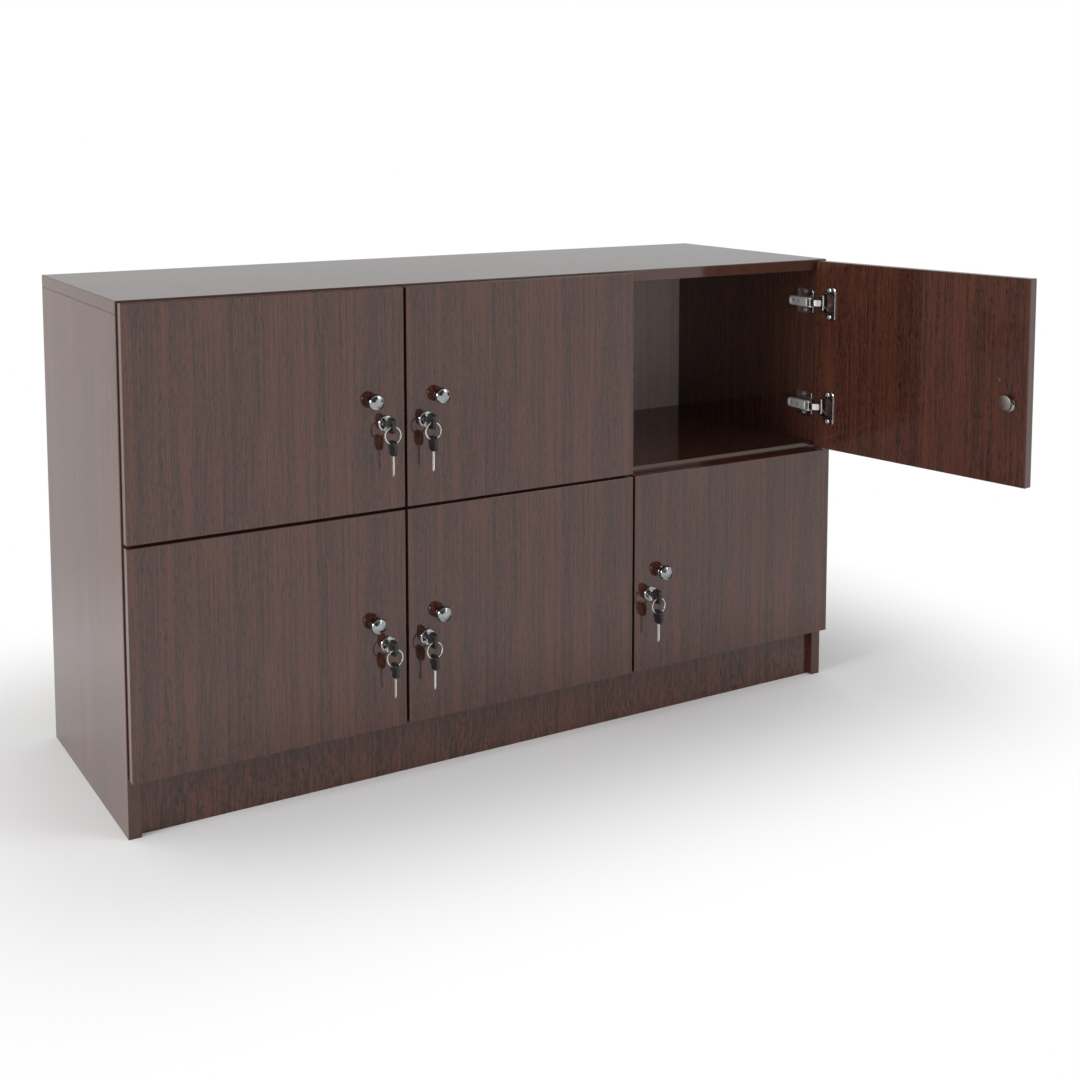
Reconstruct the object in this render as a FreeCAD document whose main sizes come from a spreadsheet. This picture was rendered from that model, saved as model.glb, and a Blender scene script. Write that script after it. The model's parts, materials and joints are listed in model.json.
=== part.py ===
"""Low locker cabinet: three columns of two doors on a plinth, with concealed hinges and cam locks.

The case frame: X runs along the width, +Y goes to the back, +Z is up. The origin is the middle of
the plinth board's underside, on the floor. Each door has a frame of its own at the front lower
corner of its hinge edge: "inset" is the distance from that edge, towards the middle of the door,
and "depth" is the distance behind the front face of the closed door.
"""
import FreeCAD, Part
import os
import re

SIZES = [
    ("columns", 3, "columns of doors"),
    ("body_width", 1200, "outside width of the case"),
    ("body_depth", 400, "depth of the case without doors"),
    ("body_height", 720, "height from the floor to the top"),
    ("board", 18, "thickness of the case boards"),
    ("back_thickness", 4, "thickness of the back panel"),
    ("back_inset", 4, "back panel set in from the rear edges"),
    ("groove_depth", 8, "depth of the groove that holds the back panel"),
    ("plinth_height", 80, "height of the plinth board"),
    ("plinth_setback", 10, "plinth set back from the case front"),
    ("door_thickness", 16, "thickness of a door"),
    ("door_gap", 2, "gap between the closed doors and the case"),
    ("door_reveal", 2, "case edge left bare around the doors"),
    ("door_spacing", 4, "gap between neighbouring doors"),
    ("edge_round", 1, "rounding of the board edges"),
    ("open_angle", 100, "how far the upper right door stands open"),
    ("lever_share", 0.3766, "turn of the hinge lever for one degree of door opening"),
    ("hinge_inset", 70, "hinge centre from the door's top or bottom"),
    ("cup_centre", 22.5, "hinge cup axis from the hinge edge"),
    ("cup_radius", 17.5, "outside radius of the hinge cup"),
    ("cup_wall", 1.3, "wall of the hinge cup"),
    ("cup_depth", 11.3, "depth of the hinge cup in the door"),
    ("cup_floor", 1, "floor of the hinge cup"),
    ("flange_near", 20, "near edge of the cup flange from the hinge edge"),
    ("flange_far", 41, "far edge of the cup flange from the hinge edge"),
    ("flange_height", 55, "height of the cup flange"),
    ("flange_thickness", 1.2, "thickness of the cup flange"),
    ("flange_round", 6, "corner radius of the cup flange"),
    ("flange_lip", 2, "width and rise of the lip along the far edge"),
    ("flange_screw_inset", 28.5, "flange screws from the hinge edge"),
    ("flange_screw_span", 45, "distance between the two flange screws"),
    ("cup_pin_inset", 11.82, "cup pin from the hinge edge"),
    ("cup_pin_depth", 12.32, "cup pin behind the door front"),
    ("cup_pin_length", 25, "length of the cup pin"),
    ("arm_pin_inset", 32.7, "arm pin from the hinge edge"),
    ("arm_pin_depth", 16.82, "arm pin behind the door front"),
    ("pin_radius", 1.5, "radius of both hinge pins"),
    ("pin_clearance", 0.05, "running clearance round a hinge pin"),
    ("lever_width", 11, "width of the hinge lever"),
    ("lever_thickness", 2.4, "thickness of the hinge lever"),
    ("lever_rise", 6.5, "rise of the lever's gooseneck over its chord"),
    ("lever_eye", 2.6, "outside radius of the lever's eyes"),
    ("arm_low", 27.7, "underside of the hinge arm from the hinge edge"),
    ("arm_high", 35.7, "outer side of the hinge arm from the hinge edge"),
    ("arm_rear", 68, "rear end of the hinge arm behind the door front"),
    ("arm_height", 16, "height of the hinge arm"),
    ("arm_tip", 3, "radius of the hinge arm's tip"),
    ("fork_width", 11.6, "clear width between the arm's cheeks"),
    ("fork_length", 7, "how far the fork runs behind the arm pin"),
    ("adjuster_radius", 3.2, "radius of the arm's adjusting screws"),
    ("adjuster_rise", 0.8, "rise of the adjusting screw heads"),
    ("adjuster_root", 1, "how deep the adjusting screw heads sit in the arm"),
    ("adjuster_front", 44, "first adjusting screw behind the door front"),
    ("adjuster_rear", 60, "second adjusting screw behind the door front"),
    ("wing_thickness", 2.5, "thickness of the mounting plate's wings"),
    ("wing_height", 44, "height of the mounting plate over both wings"),
    ("wing_front", 26, "front of the mounting plate behind the door front"),
    ("wing_rear", 66, "rear of the mounting plate behind the door front"),
    ("wing_round", 6, "corner radius of the mounting plate"),
    ("block_height", 12, "height of the block under the hinge arm"),
    ("plate_screw_span", 32, "distance between the two plate screws"),
    ("plate_screw_depth", 45, "plate screws behind the door front"),
    ("plate_screw_radius", 2.5, "shank radius of a plate screw"),
    ("plate_screw_length", 11, "length of a plate screw in the board"),
    ("small_screw_radius", 1.5, "shank radius of the small screws"),
    ("small_screw_length", 7, "length of a small screw in the board"),
    ("screw_head_radius", 3.6, "radius of a screw head"),
    ("screw_head_height", 1.5, "height of a screw head"),
    ("drill_clearance", 0.05, "drilled hole over the screw's radius"),
    ("drill_relief", 0.5, "drilled hole past the screw's tip"),
    ("cup_relief", 0.1, "bore past the floor of the hinge cup"),
    ("overcut", 1, "how far a cutter runs past the solid it cuts"),
    ("knob_inset", 50, "knob from the door's free edge"),
    ("knob_base_radius", 10, "radius of the knob's foot"),
    ("knob_base_height", 2, "height of the knob's foot"),
    ("knob_neck_radius", 6, "radius of the knob's neck"),
    ("knob_head_radius", 12, "radius of the knob's head"),
    ("knob_head_half", 7, "half the height of the knob's head"),
    ("knob_head_centre", 13.5, "middle of the knob's head from the door"),
    ("knob_screw_radius", 2, "shank radius of the knob's screw"),
    ("lock_inset", 29.5, "lock axis from the door's free edge"),
    ("lock_drop", 34, "lock axis below the knob"),
    ("lock_flange_radius", 12, "radius of the lock's front flange"),
    ("lock_flange_bevel", 1.2, "bevel of the lock's front flange"),
    ("lock_flange_height", 3, "height of the lock's front flange"),
    ("lock_dish_radius", 8.4, "radius of the dish in the flange"),
    ("lock_dish_depth", 0.8, "depth of the dish in the flange"),
    ("barrel_radius", 9.5, "radius of the lock barrel"),
    ("barrel_reach", 7, "barrel behind the door's inner face"),
    ("lock_nut_radius", 11, "radius of the round lock nut"),
    ("lock_nut_height", 3, "height of the round lock nut"),
    ("plug_radius", 6, "radius of the turning lock plug"),
    ("plug_clearance", 0.1, "running clearance round the plug"),
    ("plug_front", 2.2, "plug face in front of the door"),
    ("cam_radius", 11, "radius of the round locking cam"),
    ("cam_offset", 5, "cam centre off the lock axis"),
    ("cam_angle", 45, "cam offset above the level, towards the hinge"),
    ("cam_thickness", 2.6, "thickness of the locking cam"),
    ("cam_gap", 0.3, "gap between the cam and the barrel"),
    ("strike_reach", 10.5, "lip of the strike from the lock axis"),
    ("strike_thickness", 1.5, "sheet of the strike plate"),
    ("strike_front", 3.2, "strike plate behind the case front"),
    ("strike_length", 22, "depth of the strike plate"),
    ("strike_height", 28, "height of the strike plate"),
    ("strike_screw_span", 18, "distance between the two strike screws"),
    ("strike_screw_depth", 17, "strike screws behind the case front"),
    ("blade_thickness", 2, "thickness of a key blade"),
    ("blade_width", 6.5, "width of a key blade"),
    ("blade_length", 29, "length of a key blade outside its head"),
    ("blade_clearance", 0.1, "clearance round the blade in the plug"),
    ("head_thickness", 5, "thickness of a key head"),
    ("head_width", 24, "width of a key head"),
    ("head_length", 22, "length of a key head"),
    ("head_round", 7, "corner radius of a key head"),
    ("head_front", 8, "key head from the door front"),
    ("ring_hole_radius", 3, "radius of the hole in a key head"),
    ("ring_hole_distance", 23.6, "hole of the inserted key from the door"),
    ("ring_radius", 12, "centre line radius of the key ring"),
    ("wire_radius", 1, "radius of the key ring's wire"),
    ("ring_drop", 1.25, "top of the ring's centre line below the lock axis"),
    ("spare_drop", 1.5, "spare key's hole centre below the ring's lowest centre line"),
]

doc = FreeCAD.newDocument("LowLockerCabinet")
sheet = doc.addObject("Spreadsheet::Sheet", "Sizes")
for line, (alias, value, meaning) in enumerate(SIZES, start=1):
    sheet.set(f"A{line}", meaning)
    sheet.set(f"B{line}", str(value))
    sheet.setAlias(f"B{line}", alias)
doc.recompute()
ALIASES = {alias for alias, value, meaning in SIZES}

# Formulas over the sheet's names that several boards share
LEFT = "(-body_width / 2)"
FRONT = "(-plinth_setback - board / 2)"
DOOR_FRONT = f"({FRONT} - door_gap - door_thickness)"
BAY = "((body_width - (columns + 1) * board) / columns)"
MIDDLE_HEIGHT = "((plinth_height + body_height) / 2)"
BACK_FRONT = f"({FRONT} + body_depth - back_inset - back_thickness)"
INNER_DEPTH = "(body_depth - back_inset - back_thickness)"
DOOR_HEIGHT = f"({MIDDLE_HEIGHT} - door_spacing / 2 - plinth_height - door_reveal)"
OUTER_DOOR_WIDTH = f"(1.5 * board + {BAY} - door_reveal - door_spacing / 2)"
MIDDLE_DOOR_WIDTH = f"({BAY} + board - door_spacing)"
OUTER_OVERLAY = "(board - door_reveal)"
HALF_OVERLAY = "((board - door_spacing) / 2)"
LEFT_DIVIDER = f"({LEFT} + board + {BAY})"
RIGHT_DIVIDER = f"({LEFT_DIVIDER} + board + {BAY})"

LEFT_HAND = 1
RIGHT_HAND = -1
SIDES = (-1, 1)
PARALLEL = 0.99
CUBIC_MM_PER_CM = 1000
# A rotation keeps its axis only with an angle, which the bound formula then sets
FIRST_ANGLE = 1
TURN_TO = {
    "X": FreeCAD.Rotation(FreeCAD.Vector(0, 1, 0), 90),
    "Y": FreeCAD.Rotation(FreeCAD.Vector(1, 0, 0), -90),
    "Z": FreeCAD.Rotation(),
}
parts = []


def formula(text):
    """Point each of the sheet's names in a formula at its cell."""
    def point(word):
        return f"Sizes.{word[0]}" if word[0] in ALIASES else word[0]

    return re.sub(r"[a-z_]+", point, str(text))


def size(alias):
    """Return one size of the sheet as a number."""
    return float(sheet.get(alias))


def place(thing, x, y, z):
    """Bind the place of an object to formulas."""
    for axis, value in zip("xyz", (x, y, z)):
        thing.setExpression(f"Placement.Base.{axis}", formula(value))
    return thing


def box(name, corner, extent):
    """Make a box from its lowest corner and its extent along X, Y and Z."""
    thing = doc.addObject("Part::Box", name)
    for side, value in zip(("Length", "Width", "Height"), extent):
        thing.setExpression(side, formula(value))
    return place(thing, *corner)


def hand_box(name, hand, inset, depth, level):
    """Make a box from ranges of inset, depth and level in a door's frame."""
    low = inset[0] if hand == LEFT_HAND else f"-({inset[1]})"
    extent = [f"({high}) - ({start})" for start, high in (inset, depth, level)]
    return box(name, (low, depth[0], level[0]), extent)


def rod(name, radius, length, start, along):
    """Make a round rod that starts at a point and runs along one axis."""
    thing = doc.addObject("Part::Cylinder", name)
    thing.Placement = FreeCAD.Placement(FreeCAD.Vector(), TURN_TO[along])
    thing.setExpression("Radius", formula(radius))
    thing.setExpression("Height", formula(length))
    return place(thing, *start)


def taper(name, first_radius, second_radius, length, start):
    """Make a cone along Y from the radius at its start to the radius at its end."""
    thing = doc.addObject("Part::Cone", name)
    thing.Placement = FreeCAD.Placement(FreeCAD.Vector(), TURN_TO["Y"])
    thing.setExpression("Radius1", formula(first_radius))
    thing.setExpression("Radius2", formula(second_radius))
    thing.setExpression("Height", formula(length))
    return place(thing, *start)


def group(name, members):
    """Keep several solids side by side in one object."""
    thing = doc.addObject("Part::Compound", name)
    thing.Links = members
    return thing


def fuse(name, members):
    """Join solids to one solid."""
    thing = doc.addObject("Part::MultiFuse", name)
    thing.Shapes = members
    thing.Refine = True
    return thing


def cut(name, base, cutters):
    """Take other solids out of a solid."""
    thing = doc.addObject("Part::Cut", name)
    thing.Base = base
    thing.Tool = cutters[0] if len(cutters) == 1 else group(f"{name}_cutters", cutters)
    return thing


def rounded(name, base, radius, along=None):
    """Round a box's straight edges, all of them or only those along one axis."""
    doc.recompute()
    thing = doc.addObject("Part::Fillet", name)
    thing.Base = base
    chosen = []
    for number, edge in enumerate(base.Shape.Edges, start=1):
        direction = edge.tangentAt(edge.FirstParameter)
        if along is None or abs(getattr(direction, along)) > PARALLEL:
            chosen.append((number, size(radius), size(radius)))
    thing.Edges = chosen
    return thing


def copy_at(name, unit, x, y, z):
    """Place a linked copy of a unit."""
    thing = doc.addObject("App::Link", name)
    thing.LinkedObject = unit
    thing.LinkTransform = True
    return place(thing, x, y, z)


def part(label, thing):
    """Name an object as a finished sub-part."""
    thing.Label = label
    parts.append(thing)
    return thing


class Door:
    """One door of the cabinet: where it hangs and what it overlaps."""

    def __init__(self, name, hand, width, edge, overlay, bottom, opening):
        """Keep the door's hand, its width and hinge edge, the overlaid board and the rest opening."""
        self.name = name
        self.hand = hand
        self.width = width
        self.edge = edge
        self.overlay = overlay
        self.bottom = bottom
        self.opening = opening
        self.hinge_levels = ("hinge_inset", f"({DOOR_HEIGHT} - hinge_inset)")
        self.lock_level = f"({DOOR_HEIGHT} / 2 - lock_drop)"

    def across(self, inset):
        """Return the X offset from the hinge edge for an inset."""
        return f"{self.hand} * ({inset})"

    def hang(self, thing):
        """Place an object made in the door's frame, turned about the cup pin that the lever carries."""
        turn = f"({self.opening})"
        lever_turn = f"({self.opening} * lever_share)"
        side = -self.hand
        run = f"({side} * (arm_pin_inset - cup_pin_inset))"
        rise = "(cup_pin_depth - arm_pin_depth)"
        pin = f"({self.hand} * cup_pin_inset)"
        lever_sine = f"({side} * sin({lever_turn}))"
        door_sine = f"({side} * sin({turn}))"
        pin_x = f"({self.hand} * arm_pin_inset + cos({lever_turn}) * {run} + {lever_sine} * {rise})"
        pin_y = f"(arm_pin_depth - {lever_sine} * {run} + cos({lever_turn}) * {rise})"
        back_x = f"(cos({turn}) * {pin} - {door_sine} * cup_pin_depth)"
        back_y = f"({door_sine} * {pin} + cos({turn}) * cup_pin_depth)"
        axis = FreeCAD.Vector(0, 0, side)
        thing.Placement = FreeCAD.Placement(FreeCAD.Vector(), FreeCAD.Rotation(axis, FIRST_ANGLE))
        thing.setExpression("Placement.Rotation.Angle", formula(f"{turn} * 1 deg"))
        across = f"{self.edge} + {pin_x} - {back_x}"
        return place(thing, across, f"{DOOR_FRONT} + {pin_y} - {back_y}", self.bottom)

    def hang_levers(self, thing):
        """Place the levers, which turn about the arm pins against the door."""
        turn = f"({self.opening} * lever_share)"
        sine = f"({self.hand} * sin({turn}))"
        pin = f"({self.hand} * arm_pin_inset)"
        axis = FreeCAD.Vector(0, 0, self.hand)
        thing.Placement = FreeCAD.Placement(FreeCAD.Vector(), FreeCAD.Rotation(axis, FIRST_ANGLE))
        thing.setExpression("Placement.Rotation.Angle", formula(f"{turn} * 1 deg"))
        shift_x = f"({pin} - cos({turn}) * {pin} + {sine} * arm_pin_depth)"
        shift_y = f"(arm_pin_depth - {sine} * {pin} - cos({turn}) * arm_pin_depth)"
        return place(thing, f"{self.edge} + {shift_x}", f"{DOOR_FRONT} + {shift_y}", self.bottom)


UPPER = f"({MIDDLE_HEIGHT} + door_spacing / 2)"
LOWER = "(plinth_height + door_reveal)"
COLUMNS = (
    ("left", LEFT_HAND, OUTER_DOOR_WIDTH, f"({LEFT} + door_reveal)", OUTER_OVERLAY),
    ("middle", RIGHT_HAND, MIDDLE_DOOR_WIDTH, f"({RIGHT_DIVIDER} + {HALF_OVERLAY})", HALF_OVERLAY),
    ("right", RIGHT_HAND, OUTER_DOOR_WIDTH, "(body_width / 2 - door_reveal)", OUTER_OVERLAY),
)
doors = []
for row, bottom in (("upper", UPPER), ("lower", LOWER)):
    for column, hand, width, edge, overlay in COLUMNS:
        opening = "open_angle" if (row, column) == ("upper", "right") else "0"
        doors.append(Door(f"{row}_{column}", hand, width, edge, overlay, bottom, opening))


def screw(name, hand, inset, depth, level, radius, length):
    """Make a screw that runs along X into a board whose face is at an inset: head and shank."""
    shank_start = f"({inset}) - ({length})"
    shank = rod_along_inset(f"{name}_shank", hand, radius, (shank_start, inset), depth, level)
    head_end = f"({inset}) + screw_head_height"
    head = rod_along_inset(f"{name}_head", hand, "screw_head_radius", (inset, head_end), depth, level)
    return fuse(name, [shank, head])


def rod_along_inset(name, hand, radius, inset, depth, level):
    """Make a rod along X over a range of inset."""
    start = inset[0] if hand == LEFT_HAND else f"-({inset[1]})"
    return rod(name, radius, f"({inset[1]}) - ({inset[0]})", (start, depth, level), "X")


def hinge_cup(name, hand):
    """Make one hinge cup with its flange, lip and pin, its middle at level zero."""
    centre = f"{hand} * cup_centre"
    shell_start = (centre, "door_thickness - cup_depth", "0")
    shell = rod(f"{name}_shell", "cup_radius", "cup_depth", shell_start, "Y")
    flange_top = "door_thickness + flange_thickness"
    half = "flange_height / 2"
    flange_depth = ("door_thickness", flange_top)
    plate = hand_box(f"{name}_plate", hand, ("flange_near", "flange_far"), flange_depth, (f"-{half}", half))
    flange = rounded(f"{name}_flange", plate, "flange_round", "y")
    lip = hand_box(
        f"{name}_lip",
        hand,
        ("flange_far - flange_lip", "flange_far"),
        ("door_thickness", f"{flange_top} + flange_lip / 2"),
        (f"-{half} + flange_round", f"{half} - flange_round"),
    )
    body = fuse(f"{name}_body", [shell, flange, lip])
    hollow_start = (centre, "door_thickness - cup_depth + cup_floor", "0")
    hollow_length = "cup_depth - cup_floor + flange_thickness"
    cutters = [rod(f"{name}_hollow", "cup_radius - cup_wall", hollow_length, hollow_start, "Y")]
    for index, side in enumerate(SIDES):
        hole_level = f"{side} * flange_screw_span / 2"
        hole = (f"{hand} * flange_screw_inset", "door_thickness - overcut", hole_level)
        hole_radius = "small_screw_radius + drill_clearance"
        cutters.append(rod(f"{name}_hole_{index}", hole_radius, "flange_thickness + 2 * overcut", hole, "Y"))
    open_body = cut(f"{name}_open", body, cutters)
    pin_start = (f"{hand} * cup_pin_inset", "cup_pin_depth", "-cup_pin_length / 2")
    pin = rod(f"{name}_pin", "pin_radius", "cup_pin_length", pin_start, "Z")
    return fuse(name, [open_body, pin])


def flange_screw(name, hand):
    """Make one screw that holds a cup flange, on the hinge's middle level."""
    flange_top = "door_thickness + flange_thickness"
    across = f"{hand} * flange_screw_inset"
    shank_start = (across, "door_thickness - small_screw_length", "0")
    shank_length = "small_screw_length + flange_thickness"
    shank = rod(f"{name}_shank", "small_screw_radius", shank_length, shank_start, "Y")
    head = rod(f"{name}_head", "screw_head_radius", "screw_head_height", (across, flange_top, "0"), "Y")
    return fuse(name, [shank, head])


def hinge_lever(name, hand):
    """Make one gooseneck lever between the cup pin and the arm pin, its middle at level zero."""
    width = size("lever_width")
    arm = FreeCAD.Vector(hand * size("arm_pin_inset"), size("arm_pin_depth"), -width / 2)
    cup = FreeCAD.Vector(hand * size("cup_pin_inset"), size("cup_pin_depth"), -width / 2)
    chord = arm - cup
    rise = size("lever_rise")
    bulge = FreeCAD.Vector(hand * chord.y, -hand * chord.x, 0).normalize()
    radius = (chord.Length ** 2 / 4 + rise ** 2) / (2 * rise)
    crown = cup + chord / 2 + bulge * rise
    centre = crown - bulge * radius
    half = size("lever_thickness") / 2

    def at_radius(point, reach):
        return centre + (point - centre) * (reach / radius)

    outer = [at_radius(point, radius + half) for point in (cup, crown, arm)]
    inner = [at_radius(point, radius - half) for point in (arm, crown, cup)]
    edges = [
        Part.Arc(*outer).toShape(),
        Part.LineSegment(outer[2], inner[0]).toShape(),
        Part.Arc(*inner).toShape(),
        Part.LineSegment(inner[2], outer[0]).toShape(),
    ]
    up = FreeCAD.Vector(0, 0, width)
    band = Part.Face(Part.Wire(edges)).extrude(up)
    eyes = [Part.makeCylinder(size("lever_eye"), width, point) for point in (arm, cup)]
    bore = size("pin_radius") + size("pin_clearance")
    holes = [Part.makeCylinder(bore, width, point) for point in (arm, cup)]
    thing = doc.addObject("Part::Feature", name)
    thing.Shape = band.fuse(eyes).cut(holes).removeSplitter()
    return thing


def hinge_arm(name, hand):
    """Make one hinge arm with its forked tip, pin and adjusting screws, its middle at level zero."""
    half = "arm_height / 2"
    bar_depth = ("arm_pin_depth", "arm_rear")
    bar = hand_box(f"{name}_bar", hand, ("arm_low", "arm_high"), bar_depth, (f"-{half}", half))
    bar_rounded = rounded(f"{name}_bar_rounded", bar, "edge_round", "y")
    pin_start = (f"{hand} * arm_pin_inset", "arm_pin_depth", f"-{half}")
    tip = rod(f"{name}_tip", "arm_tip", "arm_height", pin_start, "Z")
    blank = fuse(f"{name}_blank", [bar_rounded, tip])
    fork = hand_box(
        f"{name}_fork",
        hand,
        ("arm_low - overcut", "arm_high + overcut"),
        ("arm_pin_depth - arm_tip - overcut", "arm_pin_depth + fork_length"),
        ("-fork_width / 2", "fork_width / 2"),
    )
    forked = cut(f"{name}_forked", blank, [fork])
    pin = rod(f"{name}_pin", "pin_radius", "arm_height", pin_start, "Z")
    heads = []
    reach = ("arm_high - adjuster_root", "arm_high + adjuster_rise")
    for depth in ("adjuster_front", "adjuster_rear"):
        heads.append(rod_along_inset(f"{name}_{depth}", hand, "adjuster_radius", reach, depth, "0"))
    return fuse(name, [forked, pin, *heads])


def mounting_plate(name, hand, overlay):
    """Make one mounting plate on a board whose face is at the overlay, its middle at level zero."""
    half = "wing_height / 2"
    wing_top = f"{overlay} + wing_thickness"
    wing_depth = ("wing_front", "wing_rear")
    blank = hand_box(f"{name}_blank", hand, (overlay, wing_top), wing_depth, (f"-{half}", half))
    wings = rounded(f"{name}_wings", blank, "wing_round", "x")
    block_depth = ("wing_front + wing_round", "wing_rear - wing_thickness")
    block_level = ("-block_height / 2", "block_height / 2")
    block = hand_box(f"{name}_block", hand, (overlay, "arm_low"), block_depth, block_level)
    body = fuse(f"{name}_body", [wings, block])
    holes = []
    reach = (f"{overlay} - overcut", f"{wing_top} + overcut")
    for index, side in enumerate(SIDES):
        level = f"{side} * plate_screw_span / 2"
        radius = "plate_screw_radius + drill_clearance"
        holes.append(rod_along_inset(f"{name}_hole_{index}", hand, radius, reach, "plate_screw_depth", level))
    return cut(name, body, holes)


def knob_unit():
    """Make one knob that stands in front of the door, its axis at the origin."""
    foot = rod("knob_foot", "knob_base_radius", "knob_base_height", ("0", "-knob_base_height", "0"), "Y")
    neck = rod("knob_neck", "knob_neck_radius", "knob_head_centre", ("0", "-knob_head_centre", "0"), "Y")
    head = doc.addObject("Part::Ellipsoid", "knob_head")
    head.Placement = FreeCAD.Placement(FreeCAD.Vector(), TURN_TO["Y"])
    head.setExpression("Radius1", formula("knob_head_half"))
    head.setExpression("Radius2", formula("knob_head_radius"))
    head.setExpression("Radius3", formula("knob_head_radius"))
    place(head, "0", "-knob_head_centre", "0")
    body = fuse("knob_body", [foot, neck, head])
    bore = rod("knob_bore", "knob_screw_radius + drill_clearance", "knob_head_centre / 2",
               ("0", "-knob_head_centre / 2", "0"), "Y")
    return cut("knob_unit", body, [bore])


def knob_screw():
    """Make the screw that holds a knob from the door's inner face."""
    length = "door_thickness + knob_head_centre / 2"
    shank = rod("knob_screw_shank", "knob_screw_radius", length, ("0", "-knob_head_centre / 2", "0"), "Y")
    head = rod("knob_screw_head", "screw_head_radius", "screw_head_height", ("0", "door_thickness", "0"), "Y")
    return fuse("knob_screw", [shank, head])


def lock_body():
    """Make one lock barrel with its bevelled, dished flange, its axis at the origin."""
    flange = taper("lock_flange", "lock_flange_radius - lock_flange_bevel", "lock_flange_radius",
                   "lock_flange_height", ("0", "-lock_flange_height", "0"))
    barrel = rod("lock_barrel", "barrel_radius", "door_thickness + barrel_reach", ("0", "0", "0"), "Y")
    body = fuse("lock_blank", [flange, barrel])
    bore_start = ("0", "-lock_flange_height", "0")
    dish = rod("lock_dish", "lock_dish_radius", "lock_dish_depth", bore_start, "Y")
    bore_length = "lock_flange_height + door_thickness + barrel_reach"
    bore = rod("lock_bore", "plug_radius + plug_clearance", bore_length, bore_start, "Y")
    return cut("lock_body", body, [fuse("lock_hollow", [dish, bore])])


def lock_nut():
    """Make the round nut that clamps a lock barrel to the door."""
    start = ("0", "door_thickness", "0")
    disc = rod("lock_nut_disc", "lock_nut_radius", "lock_nut_height", start, "Y")
    hole = rod("lock_nut_hole", "barrel_radius + drill_clearance", "lock_nut_height", start, "Y")
    return cut("lock_nut", disc, [hole])


def plug_unit():
    """Make one lock plug with the slot for the key blade."""
    length = "plug_front + door_thickness + barrel_reach + cam_gap"
    body = rod("plug_body", "plug_radius", length, ("0", "-plug_front", "0"), "Y")
    half_thickness = "(blade_thickness / 2 + blade_clearance)"
    half_width = "(blade_width / 2 + blade_clearance)"
    slot_corner = (f"-{half_thickness}", "-plug_front", f"-{half_width}")
    slot_length = "blade_length - head_front + plug_front + blade_clearance"
    slot = box("plug_slot", slot_corner, (f"2 * {half_thickness}", slot_length, f"2 * {half_width}"))
    return cut("plug_unit", body, [slot])


def cam_unit(name, hand):
    """Make one round cam, set off towards the hinge and up, that turns behind the strike."""
    start = (
        f"{-hand} * cam_offset * cos(cam_angle)",
        "door_thickness + barrel_reach + cam_gap",
        "cam_offset * sin(cam_angle)",
    )
    return rod(name, "cam_radius", "cam_thickness", start, "Y")


def key_head(name, corner, extent, hole):
    """Make one key head: a plate with round corners across X and a hole for the ring."""
    plate = box(f"{name}_plate", corner, extent)
    shaped = rounded(f"{name}_shaped", plate, "head_round", "x")
    bore_start = ("-head_thickness / 2 - overcut", *hole)
    bore = rod(f"{name}_bore", "ring_hole_radius", "head_thickness + 2 * overcut", bore_start, "X")
    return cut(name, shaped, [bore])


def key_ring_unit():
    """Make one key ring, hung in the inserted key's hole."""
    ring = doc.addObject("Part::Torus", "key_ring_unit")
    ring.Placement = FreeCAD.Placement(FreeCAD.Vector(), TURN_TO["Y"])
    ring.setExpression("Radius1", formula("ring_radius"))
    ring.setExpression("Radius2", formula("wire_radius"))
    return place(ring, "0", "-ring_hole_distance", "-ring_drop - ring_radius")


def strike_leaf(name, hand):
    """Make the leaf of one strike, flat on the divider's face, which is at X zero."""
    half = "strike_height / 2"
    leaf_depth = ("strike_front", "strike_front + strike_length")
    leaf = hand_box(f"{name}_blank", hand, ("0", "strike_thickness"), leaf_depth, (f"-{half}", half))
    holes = []
    radius = "small_screw_radius + drill_clearance"
    wall = ("-overcut", "strike_thickness + overcut")
    for index, side in enumerate(SIDES):
        level = f"{side} * strike_screw_span / 2"
        holes.append(rod_along_inset(f"{name}_hole_{index}", hand, radius, wall, "strike_screw_depth", level))
    return cut(name, leaf, holes)


def strike_lip(name, hand):
    """Make the lip of one strike, welded to the front of its leaf, for the cam to turn behind."""
    half = "strike_height / 2"
    reach = "lock_inset - (board - door_spacing) / 2 - strike_reach"
    lip_depth = ("strike_front", "strike_front + strike_thickness")
    return hand_box(name, hand, ("strike_thickness", reach), lip_depth, (f"-{half}", half))


# Units, made once and linked wherever they repeat
HAND_NAMES = {LEFT_HAND: "left_hand", RIGHT_HAND: "right_hand"}
cups = {}
flange_screws = {}
levers = {}
arms = {}
cams = {}
strikes = {}
strike_screws = {}
for hand, hand_name in HAND_NAMES.items():
    cups[hand] = hinge_cup(f"{hand_name}_cup", hand)
    flange_screws[hand] = flange_screw(f"{hand_name}_flange_screw", hand)
    levers[hand] = hinge_lever(f"{hand_name}_lever", hand)
    arms[hand] = hinge_arm(f"{hand_name}_arm", hand)
    cams[hand] = cam_unit(f"{hand_name}_cam", hand)
    leaf = strike_leaf(f"{hand_name}_strike_leaf", hand)
    strikes[hand] = (leaf, strike_lip(f"{hand_name}_strike_lip", hand))
    strike_screws[hand] = screw(
        f"{hand_name}_strike_screw", hand, "strike_thickness", "strike_screw_depth", "0",
        "small_screw_radius", "small_screw_length"
    )
plates = {}
plate_screws = {}
for door in doors[:len(COLUMNS)]:
    unit_name = f"{door.name}_unit"
    plates[door.overlay, door.hand] = mounting_plate(f"{unit_name}_plate", door.hand, door.overlay)
    plate_screws[door.overlay, door.hand] = screw(
        f"{unit_name}_plate_screw", door.hand, f"{door.overlay} + wing_thickness", "plate_screw_depth", "0",
        "plate_screw_radius", "plate_screw_length"
    )
knob = knob_unit()
knob_fixing = knob_screw()
barrel = lock_body()
nut = lock_nut()
plug = plug_unit()
head_extent = ("head_thickness", "head_length", "head_width")
head_corner = ("-head_thickness / 2", "-head_front - head_length", "-head_width / 2")
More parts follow.
